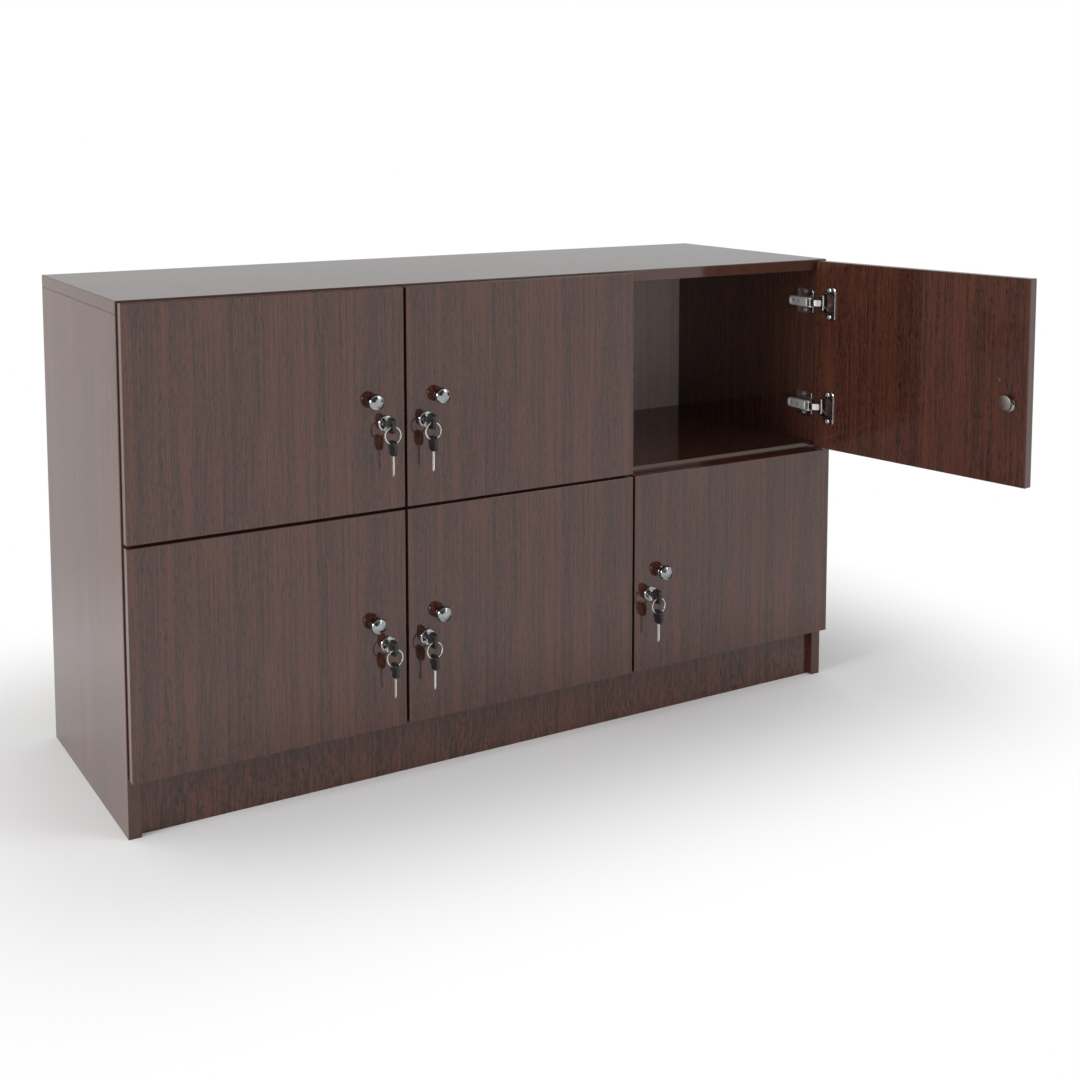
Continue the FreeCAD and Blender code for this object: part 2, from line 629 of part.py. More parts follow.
inserted_head = key_head("inserted_head", head_corner, head_extent, ("-ring_hole_distance", "0"))
blade_corner = ("-blade_thickness / 2", "-head_front", "-blade_width / 2")
inserted_blade = box("inserted_blade", blade_corner, ("blade_thickness", "blade_length", "blade_width"))
ring = key_ring_unit()
HOLE_LEVEL = "(-ring_drop - 2 * ring_radius - spare_drop)"
SPARE_TOP = f"({HOLE_LEVEL} + head_front + head_length - ring_hole_distance)"
spare_corner = (
    "-head_thickness / 2", "-ring_hole_distance - head_width / 2", f"{SPARE_TOP} - head_length"
)
spare_extent = ("head_thickness", "head_width", "head_length")
spare_head = key_head("spare_head", spare_corner, spare_extent, ("-ring_hole_distance", HOLE_LEVEL))
spare_blade_corner = (
    "-blade_thickness / 2",
    "-ring_hole_distance - blade_width / 2",
    f"{SPARE_TOP} - head_length - blade_length",
)
spare_blade = box("spare_blade", spare_blade_corner, ("blade_thickness", "blade_width", "blade_length"))


def plate_drills(column):
    """Make the screw holes that a column's mounting plates need in the board that carries them."""
    holes = []
    for door in doors:
        if not door.name.endswith(column):
            continue
        for hinge, level in enumerate(door.hinge_levels):
            for index, side in enumerate(SIDES):
                face = f"{door.edge} + {door.across(door.overlay)}"
                length = "(plate_screw_length - wing_thickness + drill_relief)"
                start = f"{face} - {length}" if door.hand == LEFT_HAND else face
                height = f"{door.bottom} + {level} + {side} * plate_screw_span / 2"
                name = f"{door.name}_plate_drill_{hinge}_{index}"
                where = (start, f"{DOOR_FRONT} + plate_screw_depth", height)
                holes.append(rod(name, "plate_screw_radius + drill_clearance", length, where, "X"))
    return holes


def strike_face(door):
    """Return the X of the divider face that carries a door's strike."""
    return f"{door.edge} + {door.across(f'{door.width} - {HALF_OVERLAY}')}"


def strike_drills(columns):
    """Make the screw holes that the strikes of some columns need in their divider."""
    holes = []
    for door in doors:
        if not door.name.endswith(columns):
            continue
        for index, side in enumerate(SIDES):
            length = "(small_screw_length - strike_thickness + drill_relief)"
            face = strike_face(door)
            start = face if door.hand == LEFT_HAND else f"{face} - {length}"
            height = f"{door.bottom} + {door.lock_level} + {side} * strike_screw_span / 2"
            where = (start, f"{FRONT} + strike_screw_depth", height)
            name = f"{door.name}_strike_drill_{index}"
            holes.append(rod(name, "small_screw_radius + drill_clearance", length, where, "X"))
    return holes


# Case boards
def back_groove(name):
    """Make the space of the back panel, which the boards around it are grooved for."""
    corner = (f"{LEFT} + board - groove_depth", BACK_FRONT, "plinth_height + board - groove_depth")
    extent = (
        "body_width - 2 * board + 2 * groove_depth",
        "back_thickness",
        "body_height - plinth_height - 2 * board + 2 * groove_depth",
    )
    return box(name, corner, extent)


top_blank = box("top_blank", (LEFT, FRONT, "body_height - board"), ("body_width", "body_depth", "board"))
top_rounded = rounded("top_rounded", top_blank, "edge_round")
part("top_panel", cut("top_panel", top_rounded, [back_groove("top_groove")]))
bottom_extent = ("body_width - 2 * board", "body_depth", "board")
bottom_blank = box("bottom_blank", (f"{LEFT} + board", FRONT, "plinth_height"), bottom_extent)
part("bottom_panel", cut("bottom_panel", bottom_blank, [back_groove("bottom_groove")]))
side_extent = ("board", "body_depth", "body_height - board")
for column, corner_x in (("left", LEFT), ("right", "body_width / 2 - board")):
    side_blank = box(f"{column}_side_blank", (corner_x, FRONT, "0"), side_extent)
    side_rounded = rounded(f"{column}_side_rounded", side_blank, "edge_round", "z")
    drills = plate_drills(column)
    cutters = [back_groove(f"{column}_groove"), *drills]
    part(f"{column}_side_panel", cut(f"{column}_side_panel", side_rounded, cutters))
divider_extent = ("board", INNER_DEPTH, "body_height - plinth_height - 2 * board")
for name, corner_x, drills in (
    ("left_divider", LEFT_DIVIDER, strike_drills(("left", "middle"))),
    ("right_divider", RIGHT_DIVIDER, [*strike_drills("right"), *plate_drills("middle")]),
):
    divider_blank = box(f"{name}_blank", (corner_x, FRONT, "plinth_height + board"), divider_extent)
    part(name, cut(name, divider_blank, drills))
shelf_extent = (BAY, INNER_DEPTH, "board")
shelf_boards = []
for index in range(len(COLUMNS)):
    shelf_corner = (f"{LEFT} + board + {index} * ({BAY} + board)", FRONT, f"{MIDDLE_HEIGHT} - board / 2")
    shelf_boards.append(box(f"shelf_{index}", shelf_corner, shelf_extent))
part("shelves", group("shelves", shelf_boards))
part("back_panel", back_groove("back_panel"))
plinth_corner = (f"{LEFT} + board", "-board / 2", "0")
part("plinth_board", box("plinth_board", plinth_corner, ("body_width - 2 * board", "board", "plinth_height")))

# Fittings on the case: hinge arms, mounting plates and lock strikes
arm_copies = []
plate_copies = []
strike_copies = []
for door in doors:
    plate_unit = plates[door.overlay, door.hand]
    plate_screw_unit = plate_screws[door.overlay, door.hand]
    for hinge, level in enumerate(door.hinge_levels):
        height = f"{door.bottom} + {level}"
        at = (door.edge, DOOR_FRONT, height)
        arm_copies.append(copy_at(f"{door.name}_arm_{hinge}", arms[door.hand], *at))
        plate_copies.append(copy_at(f"{door.name}_plate_{hinge}", plate_unit, *at))
        for index, side in enumerate(SIDES):
            screw_at = (door.edge, DOOR_FRONT, f"{height} + {side} * plate_screw_span / 2")
            screw_name = f"{door.name}_plate_screw_{hinge}_{index}"
            plate_copies.append(copy_at(screw_name, plate_screw_unit, *screw_at))
    strike_hand = -door.hand
    strike_level = f"{door.bottom} + {door.lock_level}"
    strike_at = (strike_face(door), FRONT, strike_level)
    for index, unit in enumerate(strikes[strike_hand]):
        strike_copies.append(copy_at(f"{door.name}_strike_{index}", unit, *strike_at))
    for index, side in enumerate(SIDES):
        screw_at = (strike_face(door), FRONT, f"{strike_level} + {side} * strike_screw_span / 2")
        screw_name = f"{door.name}_strike_screw_{index}"
        strike_copies.append(copy_at(screw_name, strike_screws[strike_hand], *screw_at))
part("hinge_arms", group("hinge_arms", arm_copies))
part("hinge_mounting_plates", group("hinge_mounting_plates", plate_copies))
part("lock_strikes", group("lock_strikes", strike_copies))


def door_panel(door):
    """Make one door with round edges, cup bores and the holes for the screws, the knob and the lock."""
    name = door.name
    level = ("0", DOOR_HEIGHT)
    blank = hand_box(f"{name}_blank", door.hand, ("0", door.width), ("0", "door_thickness"), level)
    edged = rounded(f"{name}_edged", blank, "edge_round")
    cutters = []
    for hinge, level in enumerate(door.hinge_levels):
        bore_start = (door.across("cup_centre"), "door_thickness - cup_depth - cup_relief", level)
        bore_length = "cup_depth + cup_relief + overcut"
        bore_radius = "cup_radius + drill_clearance"
        cutters.append(rod(f"{name}_bore_{hinge}", bore_radius, bore_length, bore_start, "Y"))
        for index, side in enumerate(SIDES):
            pilot_level = f"{level} + {side} * flange_screw_span / 2"
            pilot_depth = "door_thickness - small_screw_length - drill_relief"
            pilot_start = (door.across("flange_screw_inset"), pilot_depth, pilot_level)
            pilot_length = "small_screw_length + drill_relief + overcut"
            pilot_radius = "small_screw_radius + drill_clearance"
            cutters.append(rod(f"{name}_pilot_{hinge}_{index}", pilot_radius, pilot_length, pilot_start, "Y"))
    through = "door_thickness + 2 * overcut"
    lock_at = (door.across(f"{door.width} - lock_inset"), "-overcut", door.lock_level)
    cutters.append(rod(f"{name}_lock_hole", "barrel_radius + drill_clearance", through, lock_at, "Y"))
    knob_at = (door.across(f"{door.width} - knob_inset"), "-overcut", f"{DOOR_HEIGHT} / 2")
    cutters.append(rod(f"{name}_knob_hole", "knob_screw_radius + drill_clearance", through, knob_at, "Y"))
    return cut(f"{name}_panel", edged, cutters)


def door_parts(door):
    """Make all the parts that hang on one door."""
    name = door.name
    hand = door.hand
    cup_copies = []
    lever_copies = []
    for hinge, level in enumerate(door.hinge_levels):
        cup_copies.append(copy_at(f"{name}_cup_{hinge}", cups[hand], "0", "0", level))
        lever_copies.append(copy_at(f"{name}_lever_{hinge}", levers[hand], "0", "0", level))
        for index, side in enumerate(SIDES):
            screw_level = f"{level} + {side} * flange_screw_span / 2"
            screw_name = f"{name}_flange_screw_{hinge}_{index}"
            cup_copies.append(copy_at(screw_name, flange_screws[hand], "0", "0", screw_level))
    lock_at = (door.across(f"{door.width} - lock_inset"), "0", door.lock_level)
    knob_at = (door.across(f"{door.width} - knob_inset"), "0", f"{DOOR_HEIGHT} / 2")
    sets = (
        ("knob", knob_at, (knob, knob_fixing)),
        ("lock_barrel", lock_at, (barrel, nut)),
        ("lock_plug", lock_at, (plug, cams[hand])),
        ("key", lock_at, (inserted_head, inserted_blade)),
        ("key_ring", lock_at, (ring, spare_head, spare_blade)),
    )
    part(f"{name}_door", door.hang(group(f"{name}_door", [door_panel(door)])))
    part(f"{name}_hinge_levers", door.hang_levers(group(f"{name}_hinge_levers", lever_copies)))
    part(f"{name}_hinge_cups", door.hang(group(f"{name}_hinge_cups", cup_copies)))
    for label, at, units in sets:
        copies = [copy_at(f"{name}_{label}_{index}", unit, *at) for index, unit in enumerate(units)]
        part(f"{name}_{label}", door.hang(group(f"{name}_{label}", copies)))


for door in doors:
    door_parts(door)

doc.recompute()
failed = [thing.Name for thing in doc.Objects if {"Invalid", "Error"} & set(thing.State)]
if failed:
    raise RuntimeError(f"objects that failed: {failed}")
for thing in parts:
    if thing.Shape.isNull() or not thing.Shape.isValid():
        raise RuntimeError(f"part without a valid shape: {thing.Label}")
os.makedirs("parts", exist_ok=True)
for thing in parts:
    thing.Shape.exportStep(os.path.join("parts", f"{thing.Label}.step"))
    print(thing.Label, len(thing.Shape.Solids), round(thing.Shape.Volume / CUBIC_MM_PER_CM, 2), "cm3")
print(len(parts), "parts")
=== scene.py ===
"""Looks of a low locker cabinet: laminate boards, hinges, knobs, cam locks, keys and a plain studio."""

import json
import logging
import math
from collections.abc import Sequence
from dataclasses import dataclass, replace
from enum import Enum

import bmesh
import bpy
import numpy as np
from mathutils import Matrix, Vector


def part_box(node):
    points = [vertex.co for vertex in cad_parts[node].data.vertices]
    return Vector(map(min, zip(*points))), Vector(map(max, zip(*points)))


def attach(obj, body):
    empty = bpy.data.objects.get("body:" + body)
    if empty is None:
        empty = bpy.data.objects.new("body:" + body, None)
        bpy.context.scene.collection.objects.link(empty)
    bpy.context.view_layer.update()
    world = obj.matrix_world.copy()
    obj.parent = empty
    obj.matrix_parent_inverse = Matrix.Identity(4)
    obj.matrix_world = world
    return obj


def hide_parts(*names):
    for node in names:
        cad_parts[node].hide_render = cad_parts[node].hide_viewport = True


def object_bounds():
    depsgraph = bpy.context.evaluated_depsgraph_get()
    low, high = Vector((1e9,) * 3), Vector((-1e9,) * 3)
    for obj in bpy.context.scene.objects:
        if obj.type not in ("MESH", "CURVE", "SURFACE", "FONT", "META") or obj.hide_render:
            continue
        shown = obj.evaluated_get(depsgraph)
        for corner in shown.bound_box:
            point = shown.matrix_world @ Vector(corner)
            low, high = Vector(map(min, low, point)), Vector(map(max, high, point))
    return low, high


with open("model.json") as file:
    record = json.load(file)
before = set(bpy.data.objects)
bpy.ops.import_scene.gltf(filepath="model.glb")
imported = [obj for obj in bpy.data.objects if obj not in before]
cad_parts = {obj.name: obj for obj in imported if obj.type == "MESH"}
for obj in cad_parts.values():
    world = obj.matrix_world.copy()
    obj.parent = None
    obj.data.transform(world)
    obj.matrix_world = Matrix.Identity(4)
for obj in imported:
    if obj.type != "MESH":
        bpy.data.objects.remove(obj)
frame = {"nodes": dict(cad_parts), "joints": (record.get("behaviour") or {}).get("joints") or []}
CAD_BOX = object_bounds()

LOG = logging.getLogger("locker_cabinet")
MM = 0.001
QUARTER_TURN = math.pi / 2
FULL_TURN = 2 * math.pi
DIAGONAL = math.sqrt(0.5)
ROUND_STEPS = 48
CORNER_STEPS = 9
BEVEL_STEPS = 4
WELD_DISTANCE = 2e-6
SHARP_ANGLE = math.radians(32)
SIDES = (-1, 1)
UP = np.array([0.0, 0.0, 1.0])
WHITE = (1.0, 1.0, 1.0)
Pair = tuple[float, float]
Place = tuple[float, float, float]
Colour = tuple[float, float, float]
Socket = bpy.types.NodeSocket
Material = bpy.types.Material


class Slot(Enum):
    """Material slots of the record."""

    WOOD = "wood_laminate"
    STEEL = "plated_steel"
    CHROME = "chrome"
    PLASTIC = "black_plastic"


class Hand(Enum):
    """Side of a door that its hinges are on, seen from the front."""

    LEFT = 1
    RIGHT = -1


class Grain(Enum):
    """Direction of the wood grain on a board."""

    UPRIGHT = "upright"
    LENGTHWISE = "lengthwise"


class Body(Enum):
    """Moving bodies of a door."""

    LEAF = "leaf"
    LEVERS = "levers"
    LOCK = "lock"
    RING = "ring"


class Kind(Enum):
    """Kinds of the sockets of a node group."""

    VECTOR = "NodeSocketVector"
    COLOUR = "NodeSocketColor"
    VALUE = "NodeSocketFloat"


# Drawings in millimetres


@dataclass(frozen=True)
class Axes:
    """Where a drawing in millimetres lies in the frame: an origin in metres and three directions."""

    origin: np.ndarray
    a: np.ndarray
    b: np.ndarray
    h: np.ndarray

    def place(self, points: np.ndarray) -> np.ndarray:
        """Carry (a, b, h) points into the frame: origin plus each length along its direction."""
        return self.origin + MM * (points @ np.stack([self.a, self.b, self.h]))

    def moved(self, a: float, b: float, h: float) -> "Axes":
        """Return the same axes with the origin at a point of this drawing."""
        return Axes(self.place(np.array([a, b, h])), self.a, self.b, self.h)

    def outward(self) -> "Axes":
        """Return the same axes with heights counted the other way."""
        return Axes(self.origin, self.a, self.b, -self.h)

    def upended(self) -> "Axes":
        """Return axes with b and h changed over, so that heights go along the old b."""
        return Axes(self.origin, self.a, self.h, self.b)

    def sidelong(self) -> "Axes":
        """Return axes with a and h changed over, so that heights go along the old a."""
        return Axes(self.origin, self.h, self.b, self.a)

    def turned(self, angle: float) -> "Axes":
        """Return axes turned about h.

        Args:
            angle: Turn in radians, from a towards b.

        Returns:
            The turned axes.
        """
        a = math.cos(angle) * self.a + math.sin(angle) * self.b
        b = math.cos(angle) * self.b - math.sin(angle) * self.a
        return Axes(self.origin, a, b, self.h)


def smooth_step(values: np.ndarray, low: float, high: float) -> np.ndarray:
    """Rise from 0 to 1 between two values as 3 t^2 - 2 t^3."""
    share = np.clip((values - low) / (high - low), 0, 1)
    return share * share * (3 - 2 * share)


def unit(vectors: np.ndarray) -> np.ndarray:
    """Return vectors divided by their lengths."""
    return vectors / np.linalg.norm(vectors, axis=-1, keepdims=True)


def polar(angles: np.ndarray) -> np.ndarray:
    """Return the direction (cos t, sin t) of each angle."""
    return np.stack([np.cos(angles), np.sin(angles)], axis=-1)


def circle(radius: float, count: int = ROUND_STEPS) -> np.ndarray:
    """Return a loop of points at a radius, evenly spaced in angle."""
    return radius * polar(np.linspace(0, FULL_TURN, count, endpoint=False))


def even_steps(points: np.ndarray, count: int, closed: bool = True) -> np.ndarray:
    """Walk a line in equal steps, by interpolating each coordinate along the line's running length.

    Args:
        points: Points of the line.
        count: Points of the result.
        closed: Whether the line is a loop.

    Returns:
        An array of count points.
    """
    line = np.concatenate([points, points[:1]]) if closed else points
    length = np.concatenate([[0], np.cumsum(np.linalg.norm(np.diff(line, axis=0), axis=1))])
    wanted = np.linspace(0, length[-1], count, endpoint=not closed)
    return np.stack([np.interp(wanted, length, line[:, axis]) for axis in range(2)], axis=-1)


def rounded_loop(corners: Sequence[Pair], radii: Sequence[float], count: int) -> np.ndarray:
    """Draw a closed loop of straight runs with an arc at each corner.

    Each arc touches both runs of its corner: its centre is on the corner's bisector, at a distance of
    radius / sin(half angle), and it starts radius / tan(half angle) along each run. The loop is then walked
    in equal steps.

    Args:
        corners: Corner points, counter-clockwise.
        radii: One radius for each corner.
        count: Points of the finished loop.

    Returns:
        An array of count points.
    """
    corner = np.array(corners, float)
    radius = np.array(radii, float)[:, None]
    before = unit(np.roll(corner, 1, axis=0) - corner)
    after = unit(np.roll(corner, -1, axis=0) - corner)
    half = np.arccos(np.clip(np.sum(before * after, axis=1, keepdims=True), -1, 1)) / 2
    bisector = unit(before + after)
    centre = corner + bisector * radius / np.sin(half)
    across = np.stack([-bisector[:, 1], bisector[:, 0]], axis=1)
    turn = np.sign(bisector[:, :1] * before[:, 1:] - bisector[:, 1:] * before[:, :1])
    sweep = (turn * np.linspace(-1, 1, CORNER_STEPS) * (QUARTER_TURN - half))[..., None]
    way = np.cos(sweep) * bisector[:, None] + np.sin(sweep) * across[:, None]
    arcs = centre[:, None] - radius[:, None] * way
    return even_steps(arcs.reshape(-1, 2), count)


def rounded_box(low: Pair, high: Pair, radius: float, count: int = ROUND_STEPS) -> np.ndarray:
    """Draw a rectangle from its lowest to its highest corner, with all corners rounded alike."""
    corners = [low, (high[0], low[1]), high, (low[0], high[1])]
    return rounded_loop(corners, [radius] * len(corners), count)


def inset(loop: np.ndarray, distance: float) -> np.ndarray:
    """Move a counter-clockwise loop inwards along its normals, a quarter turn left of each tangent."""
    tangent = unit(np.roll(loop, -1, axis=0) - np.roll(loop, 1, axis=0))
    return loop + distance * np.stack([-tangent[:, 1], tangent[:, 0]], axis=-1)


def seen_from(loop: np.ndarray, centre: Pair, radius: float) -> np.ndarray:
    """Return a circle whose points lie in the same directions from its centre as a loop's points."""
    ray = loop - np.array(centre)
    return np.array(centre) + radius * ray / np.linalg.norm(ray, axis=1, keepdims=True)


def layers(loops: Sequence[np.ndarray], heights: Sequence[float]) -> np.ndarray:
    """Stack loops into a grid, one row for each loop.

    Args:
        loops: Loops of equal count.
        heights: Height of each loop.

    Returns:
        A grid of points.
    """
    flat = np.stack(loops)
    level = np.broadcast_to(np.array(heights, float)[:, None, None], (*flat.shape[:2], 1))
    return np.concatenate([flat, level], axis=-1)


def lathe(profile: Sequence[Pair], count: int = ROUND_STEPS) -> np.ndarray:
    """Turn a profile about the height axis: each (radius, height) goes to (r cos t, r sin t, height)."""
    points = np.array(profile, float)
    return layers(points[:, :1, None] * circle(1, count)[None], points[:, 1])


def bevelled_rows(loop: np.ndarray, low: float, high: float, bevel: float) -> tuple[list, list]:
    """Draw a plate's outside: a quarter-round bevel, the wall and a bevel again.

    Args:
        loop: Outline, counter-clockwise.
        low: Height of the lower face.
        high: Height of the upper face.
        bevel: Radius of the rims.

    Returns:
        The loops from the lower rim to the upper one, and their heights.
    """
    quarter = np.linspace(0, QUARTER_TURN, BEVEL_STEPS)
    drawn_in = bevel * (1 - np.sin(quarter))
    lift = bevel * (1 - np.cos(quarter))
    distances = np.concatenate([drawn_in, drawn_in[::-1]])
    heights = np.concatenate([low + lift, high - lift[::-1]])
    return [inset(loop, distance) for distance in distances], list(heights)


def slab(
    loop: np.ndarray, low: float, high: float, bevel: float, hole: np.ndarray | None = None
) -> np.ndarray:
    """Make a plate of a loop's outline with bevelled rims.

    Args:
        loop: Outline, counter-clockwise.
        low: Height of the lower face.
        high: Height of the upper face.
        bevel: Radius of the rims.
        hole: Loop that both faces end at; without one they close to the outline's middle.

    Returns:
        A grid from inside the lower face, up the wall and to the inside of the upper face.
    """
    inner = np.broadcast_to(loop.mean(axis=0), loop.shape) if hole is None else hole
    rims, heights = bevelled_rows(loop, low, high, bevel)
    return layers([inner, *rims, inner], [low, *heights, high])


def capped(grid: np.ndarray, middles: np.ndarray) -> np.ndarray:
    """Close the first and the last row of a grid to a point each."""
    ends = np.broadcast_to(middles, (2, *grid.shape[1:]))
    return np.concatenate([ends[:1], grid, ends[1:]])


def carried(section: np.ndarray, path: np.ndarray, side: np.ndarray, lift: np.ndarray) -> np.ndarray:
    """Carry a section (across, up) along a path, capped: point = path + across * side + up * lift."""
    body = path[:, None] + section[None, :, :1] * side[:, None] + section[None, :, 1:] * lift[:, None]
    return capped(body, path[[0, -1], None])


def pin_rod(radius: float, half: float, bevel: float = 0.3, count: int = 20) -> np.ndarray:
    """Draw a pin with bevelled ends, its middle at height zero."""
    wall = [(radius - bevel, -half), (radius, bevel - half), (radius, half - bevel), (radius - bevel, half)]
    return lathe([(0, -half), *wall, (0, half)], count)


class Skin:
    """Closed surfaces of one piece, gathered as grids of points and welded into one mesh."""

    def __init__(self) -> None:
        """Start with no points."""
        self.points: list[np.ndarray] = []
        self.quads: list[np.ndarray] = []
        self.count = 0

    def add(self, axes: Axes, grid: np.ndarray, ring: bool = False) -> "Skin":
        """Add a grid whose columns close round.

        Args:
            axes: Where the grid's drawing lies.
            grid: Points in millimetres, rows by columns.
            ring: Whether the last row closes to the first.

        Returns:
            This skin.
        """
        rows, columns = grid.shape[:2]
        index = self.count + np.arange(rows * columns).reshape(rows, columns)
        below = index if ring else index[:-1]
        above = np.roll(index, -1, axis=0) if ring else index[1:]
        quads = np.stack([below, np.roll(below, -1, axis=1), np.roll(above, -1, axis=1), above], axis=-1)
        self.points.append(axes.place(grid.reshape(-1, 3)))
        self.quads.append(quads.reshape(-1, 4))
        self.count += rows * columns
        return self

    def mesh(self, name: str) -> bpy.types.Mesh:
        """Weld the grids, turn every face outwards and shade all but the sharp edges smooth.

        Args:
            name: Name of the mesh.

        Returns:
            The mesh.
        """
        mesh = bpy.data.meshes.new(name)
        mesh.from_pydata(np.concatenate(self.points).tolist(), [], np.concatenate(self.quads).tolist())
        work = bmesh.new()
        work.from_mesh(mesh)
        bmesh.ops.remove_doubles(work, verts=work.verts, dist=WELD_DISTANCE)
        bmesh.ops.recalc_face_normals(work, faces=work.faces)
        work.to_mesh(mesh)
        work.free()
        mesh.polygons.foreach_set("use_smooth", np.ones(len(mesh.polygons), bool))
        mesh.set_sharp_from_angle(angle=SHARP_ANGLE)
        return mesh


def placed(name: str, data: bpy.types.ID) -> bpy.types.Object:
    """Make an object and link it to the scene.

    Args:
        name: Name of the object.
        data: Its mesh, lamp or camera.

    Returns:
        The object.
    """
    thing = bpy.data.objects.new(name, data)
    bpy.context.scene.collection.objects.link(thing)
    return thing


def piece(name: str, skin: Skin, material: Material, body: str, slot: Slot, *nodes: str) -> None:
    """Put a new piece on a body.

    Args:
        name: Name of the piece.
        skin: Its surfaces.
        material: Its material.
        body: Body that carries it.
        slot: Record's slot; not used.
        nodes: Nodes of the frame that it stands for.
    """
    thing = placed(name, skin.mesh(name))
    thing.data.materials.append(material)
    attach(thing, body)
    if nodes:
        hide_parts(*nodes)
    LOG.info("%s: %d faces on %s", name, len(thing.data.polygons), body)


def cover(node: str, material: Material) -> None:
    """Give a node of the frame a material.

    Args:
        node: Name of the node.
        material: Its new material.
    """
    thing = frame["nodes"][node]
    thing.data.materials.clear()
    thing.data.materials.append(material)
    LOG.info("%s: covered with %s", node, material.name)


# Shader nodes


class Tree:
    """Shader nodes of one material, world or group."""

    def __init__(self, tree: bpy.types.NodeTree) -> None:
        """Hold the tree that the nodes go into."""
        self.tree = tree

    @classmethod
    def cleared(cls, owner: Material | bpy.types.World) -> "Tree":
        """Empty the nodes of a material or a world.

        Args:
            owner: The material or world.

        Returns:
            Its nodes.
        """
        owner.use_nodes = True
        owner.node_tree.nodes.clear()
        return cls(owner.node_tree)

    def feed(self, socket: Socket, value: object) -> None:
        """Join a socket to another one, or set it to a plain value.

        Args:
            socket: Input of a node.
            value: Output to join it to, or its value.
        """
        if isinstance(value, Socket):
            self.tree.links.new(value, socket)
        else:
            socket.default_value = value

    def node(self, kind: str, values: dict | None = None, **settings: object) -> bpy.types.Node:
        """Add a node.

        Args:
            kind: Type of the node, without its common prefix.
            values: Value or source of inputs, by name or number.
            settings: Properties of the node.

        Returns:
            The node.
        """
        node = self.tree.nodes.new(f"ShaderNode{kind}")
        for name, setting in settings.items():
            setattr(node, name, setting)
        for name, value in (values or {}).items():
            self.feed(node.inputs[name], value)
        return node

    def math(self, operation: str, *terms: object) -> Socket:
        """Add a Math node and return its result."""
        return self.node("Math", dict(enumerate(terms)), operation=operation).outputs[0]

    def vector(self, operation: str, *terms: object) -> Socket:
        """Add a Vector Math node and return its vector."""
        return self.node("VectorMath", dict(enumerate(terms)), operation=operation).outputs[0]

    def length(self, operation: str, *terms: object) -> Socket:
        """Add a Vector Math node and return its number."""
        return self.node("VectorMath", dict(enumerate(terms)), operation=operation).outputs["Value"]

    def scaled(self, vector: Socket, factor: object) -> Socket:
        """Return a vector times one factor."""
        return self.node("VectorMath", {"Vector": vector, "Scale": factor}, operation="SCALE").outputs[0]

    def parts(self, vector: Socket) -> Sequence[Socket]:
        """Return the three parts of a vector."""
        return self.node("SeparateXYZ", {"Vector": vector}).outputs

    def mix(self, share: object, first: object, second: object) -> Socket:
        """Mix two colours by a share; sockets 6, 7 and 2 of the node are its colours."""
        return self.node("Mix", {0: share, 6: first, 7: second}, data_type="RGBA").outputs[2]

    def blend(self, first: Socket, weight: float, second: Socket, other_weight: float) -> Socket:
        """Return the sum of two values, each times its weight."""
        return self.math("MULTIPLY_ADD", first, weight, self.math("MULTIPLY", second, other_weight))

    def rise(
        self, value: object, low: object, high: object, start: object = 0.0, end: object = 1.0
    ) -> Socket:
        """Map a value smoothly from one range to another and return it."""
        values = {"Value": value, "From Min": low, "From Max": high, "To Min": start, "To Max": end}
        return self.node("MapRange", values, interpolation_type="SMOOTHSTEP").outputs[0]

    def noise(self, vector: Socket, stretch: object, detail: float = 2.0, roughness: float = 0.5) -> Socket:
        """Return noise read at a vector times a stretch.

        Args:
            vector: Place that the noise is read at.
            stretch: Waves per metre along each axis.
            detail: Finer octaves on top of the first.
            roughness: Weight of each octave against the one before.

        Returns:
            The noise, from 0 to 1.
        """
        scaled = self.vector("MULTIPLY", vector, stretch)
        values = {"Vector": scaled, "Scale": 1.0, "Detail": detail, "Roughness": roughness}
        return self.node("TexNoise", values).outputs["Fac"]

    def shared(self, group: bpy.types.NodeTree, **values: object) -> Sequence[Socket]:
        """Place a shared group with its own input values and return its outputs."""
        return self.node("Group", values, node_tree=group).outputs


class SharedEffect:
    """One effect used by several finishes, kept as a node group with named sockets."""

    def __init__(self, name: str, takes: dict[Kind, str], gives: dict[Kind, str]) -> None:
        """Make the group and its sockets.

        Args:
            name: Name of the group.
            takes: Names of its inputs, by kind.
            gives: Names of its outputs, by kind.
        """
        self.group = bpy.data.node_groups.new(name, "ShaderNodeTree")
        for way, sockets in (("INPUT", takes), ("OUTPUT", gives)):
            for kind, labels in sockets.items():
                for label in labels.split():
                    self.group.interface.new_socket(name=label, in_out=way, socket_type=kind.value)
        self.nodes = Tree(self.group)
        self.given = self.group.nodes.new("NodeGroupInput").outputs
        self.result = self.group.nodes.new("NodeGroupOutput").inputs


# Waves per metre along X, Y and Z
WANDER_WAVES = (9.0, 9.0, 7.0)
BROAD_WAVES = (24.0, 24.0, 1.2)
BAND_WAVES = (110.0, 110.0, 2.2)
LINE_WAVES = (540.0, 540.0, 7.0)
DASH_WAVES = (620.0, 620.0, 95.0)
PORE_WAVES = (640.0, 640.0, 78.0)
FLAKE_WAVES = (330.0, 330.0, 330.0)
CRUMB_WAVES = (1500.0, 1500.0, 1500.0)
WIPE_WAVES = (160.0, 160.0, 1400.0)
GRIT = (2600.0, 2600.0, 2600.0)
DRAWN = (400.0, 400.0, 5200.0)

# Waves per unit of a scaled place
CLOUD_WAVES = (1.0, 1.0, 1.0)
SPECK_WAVES = (9.0, 9.0, 9.0)

# Values between which a mask rises
PORE_RISE = (0.57, 0.65)
CROWD_RISE = (0.62, 0.40, 0.3, 0.9)
BAND_RISE = (-0.1 * MM, 0.1 * MM)
GLOSS_RISE = (0.34, 0.66)
TONE_RISE = (0.35, 0.65)


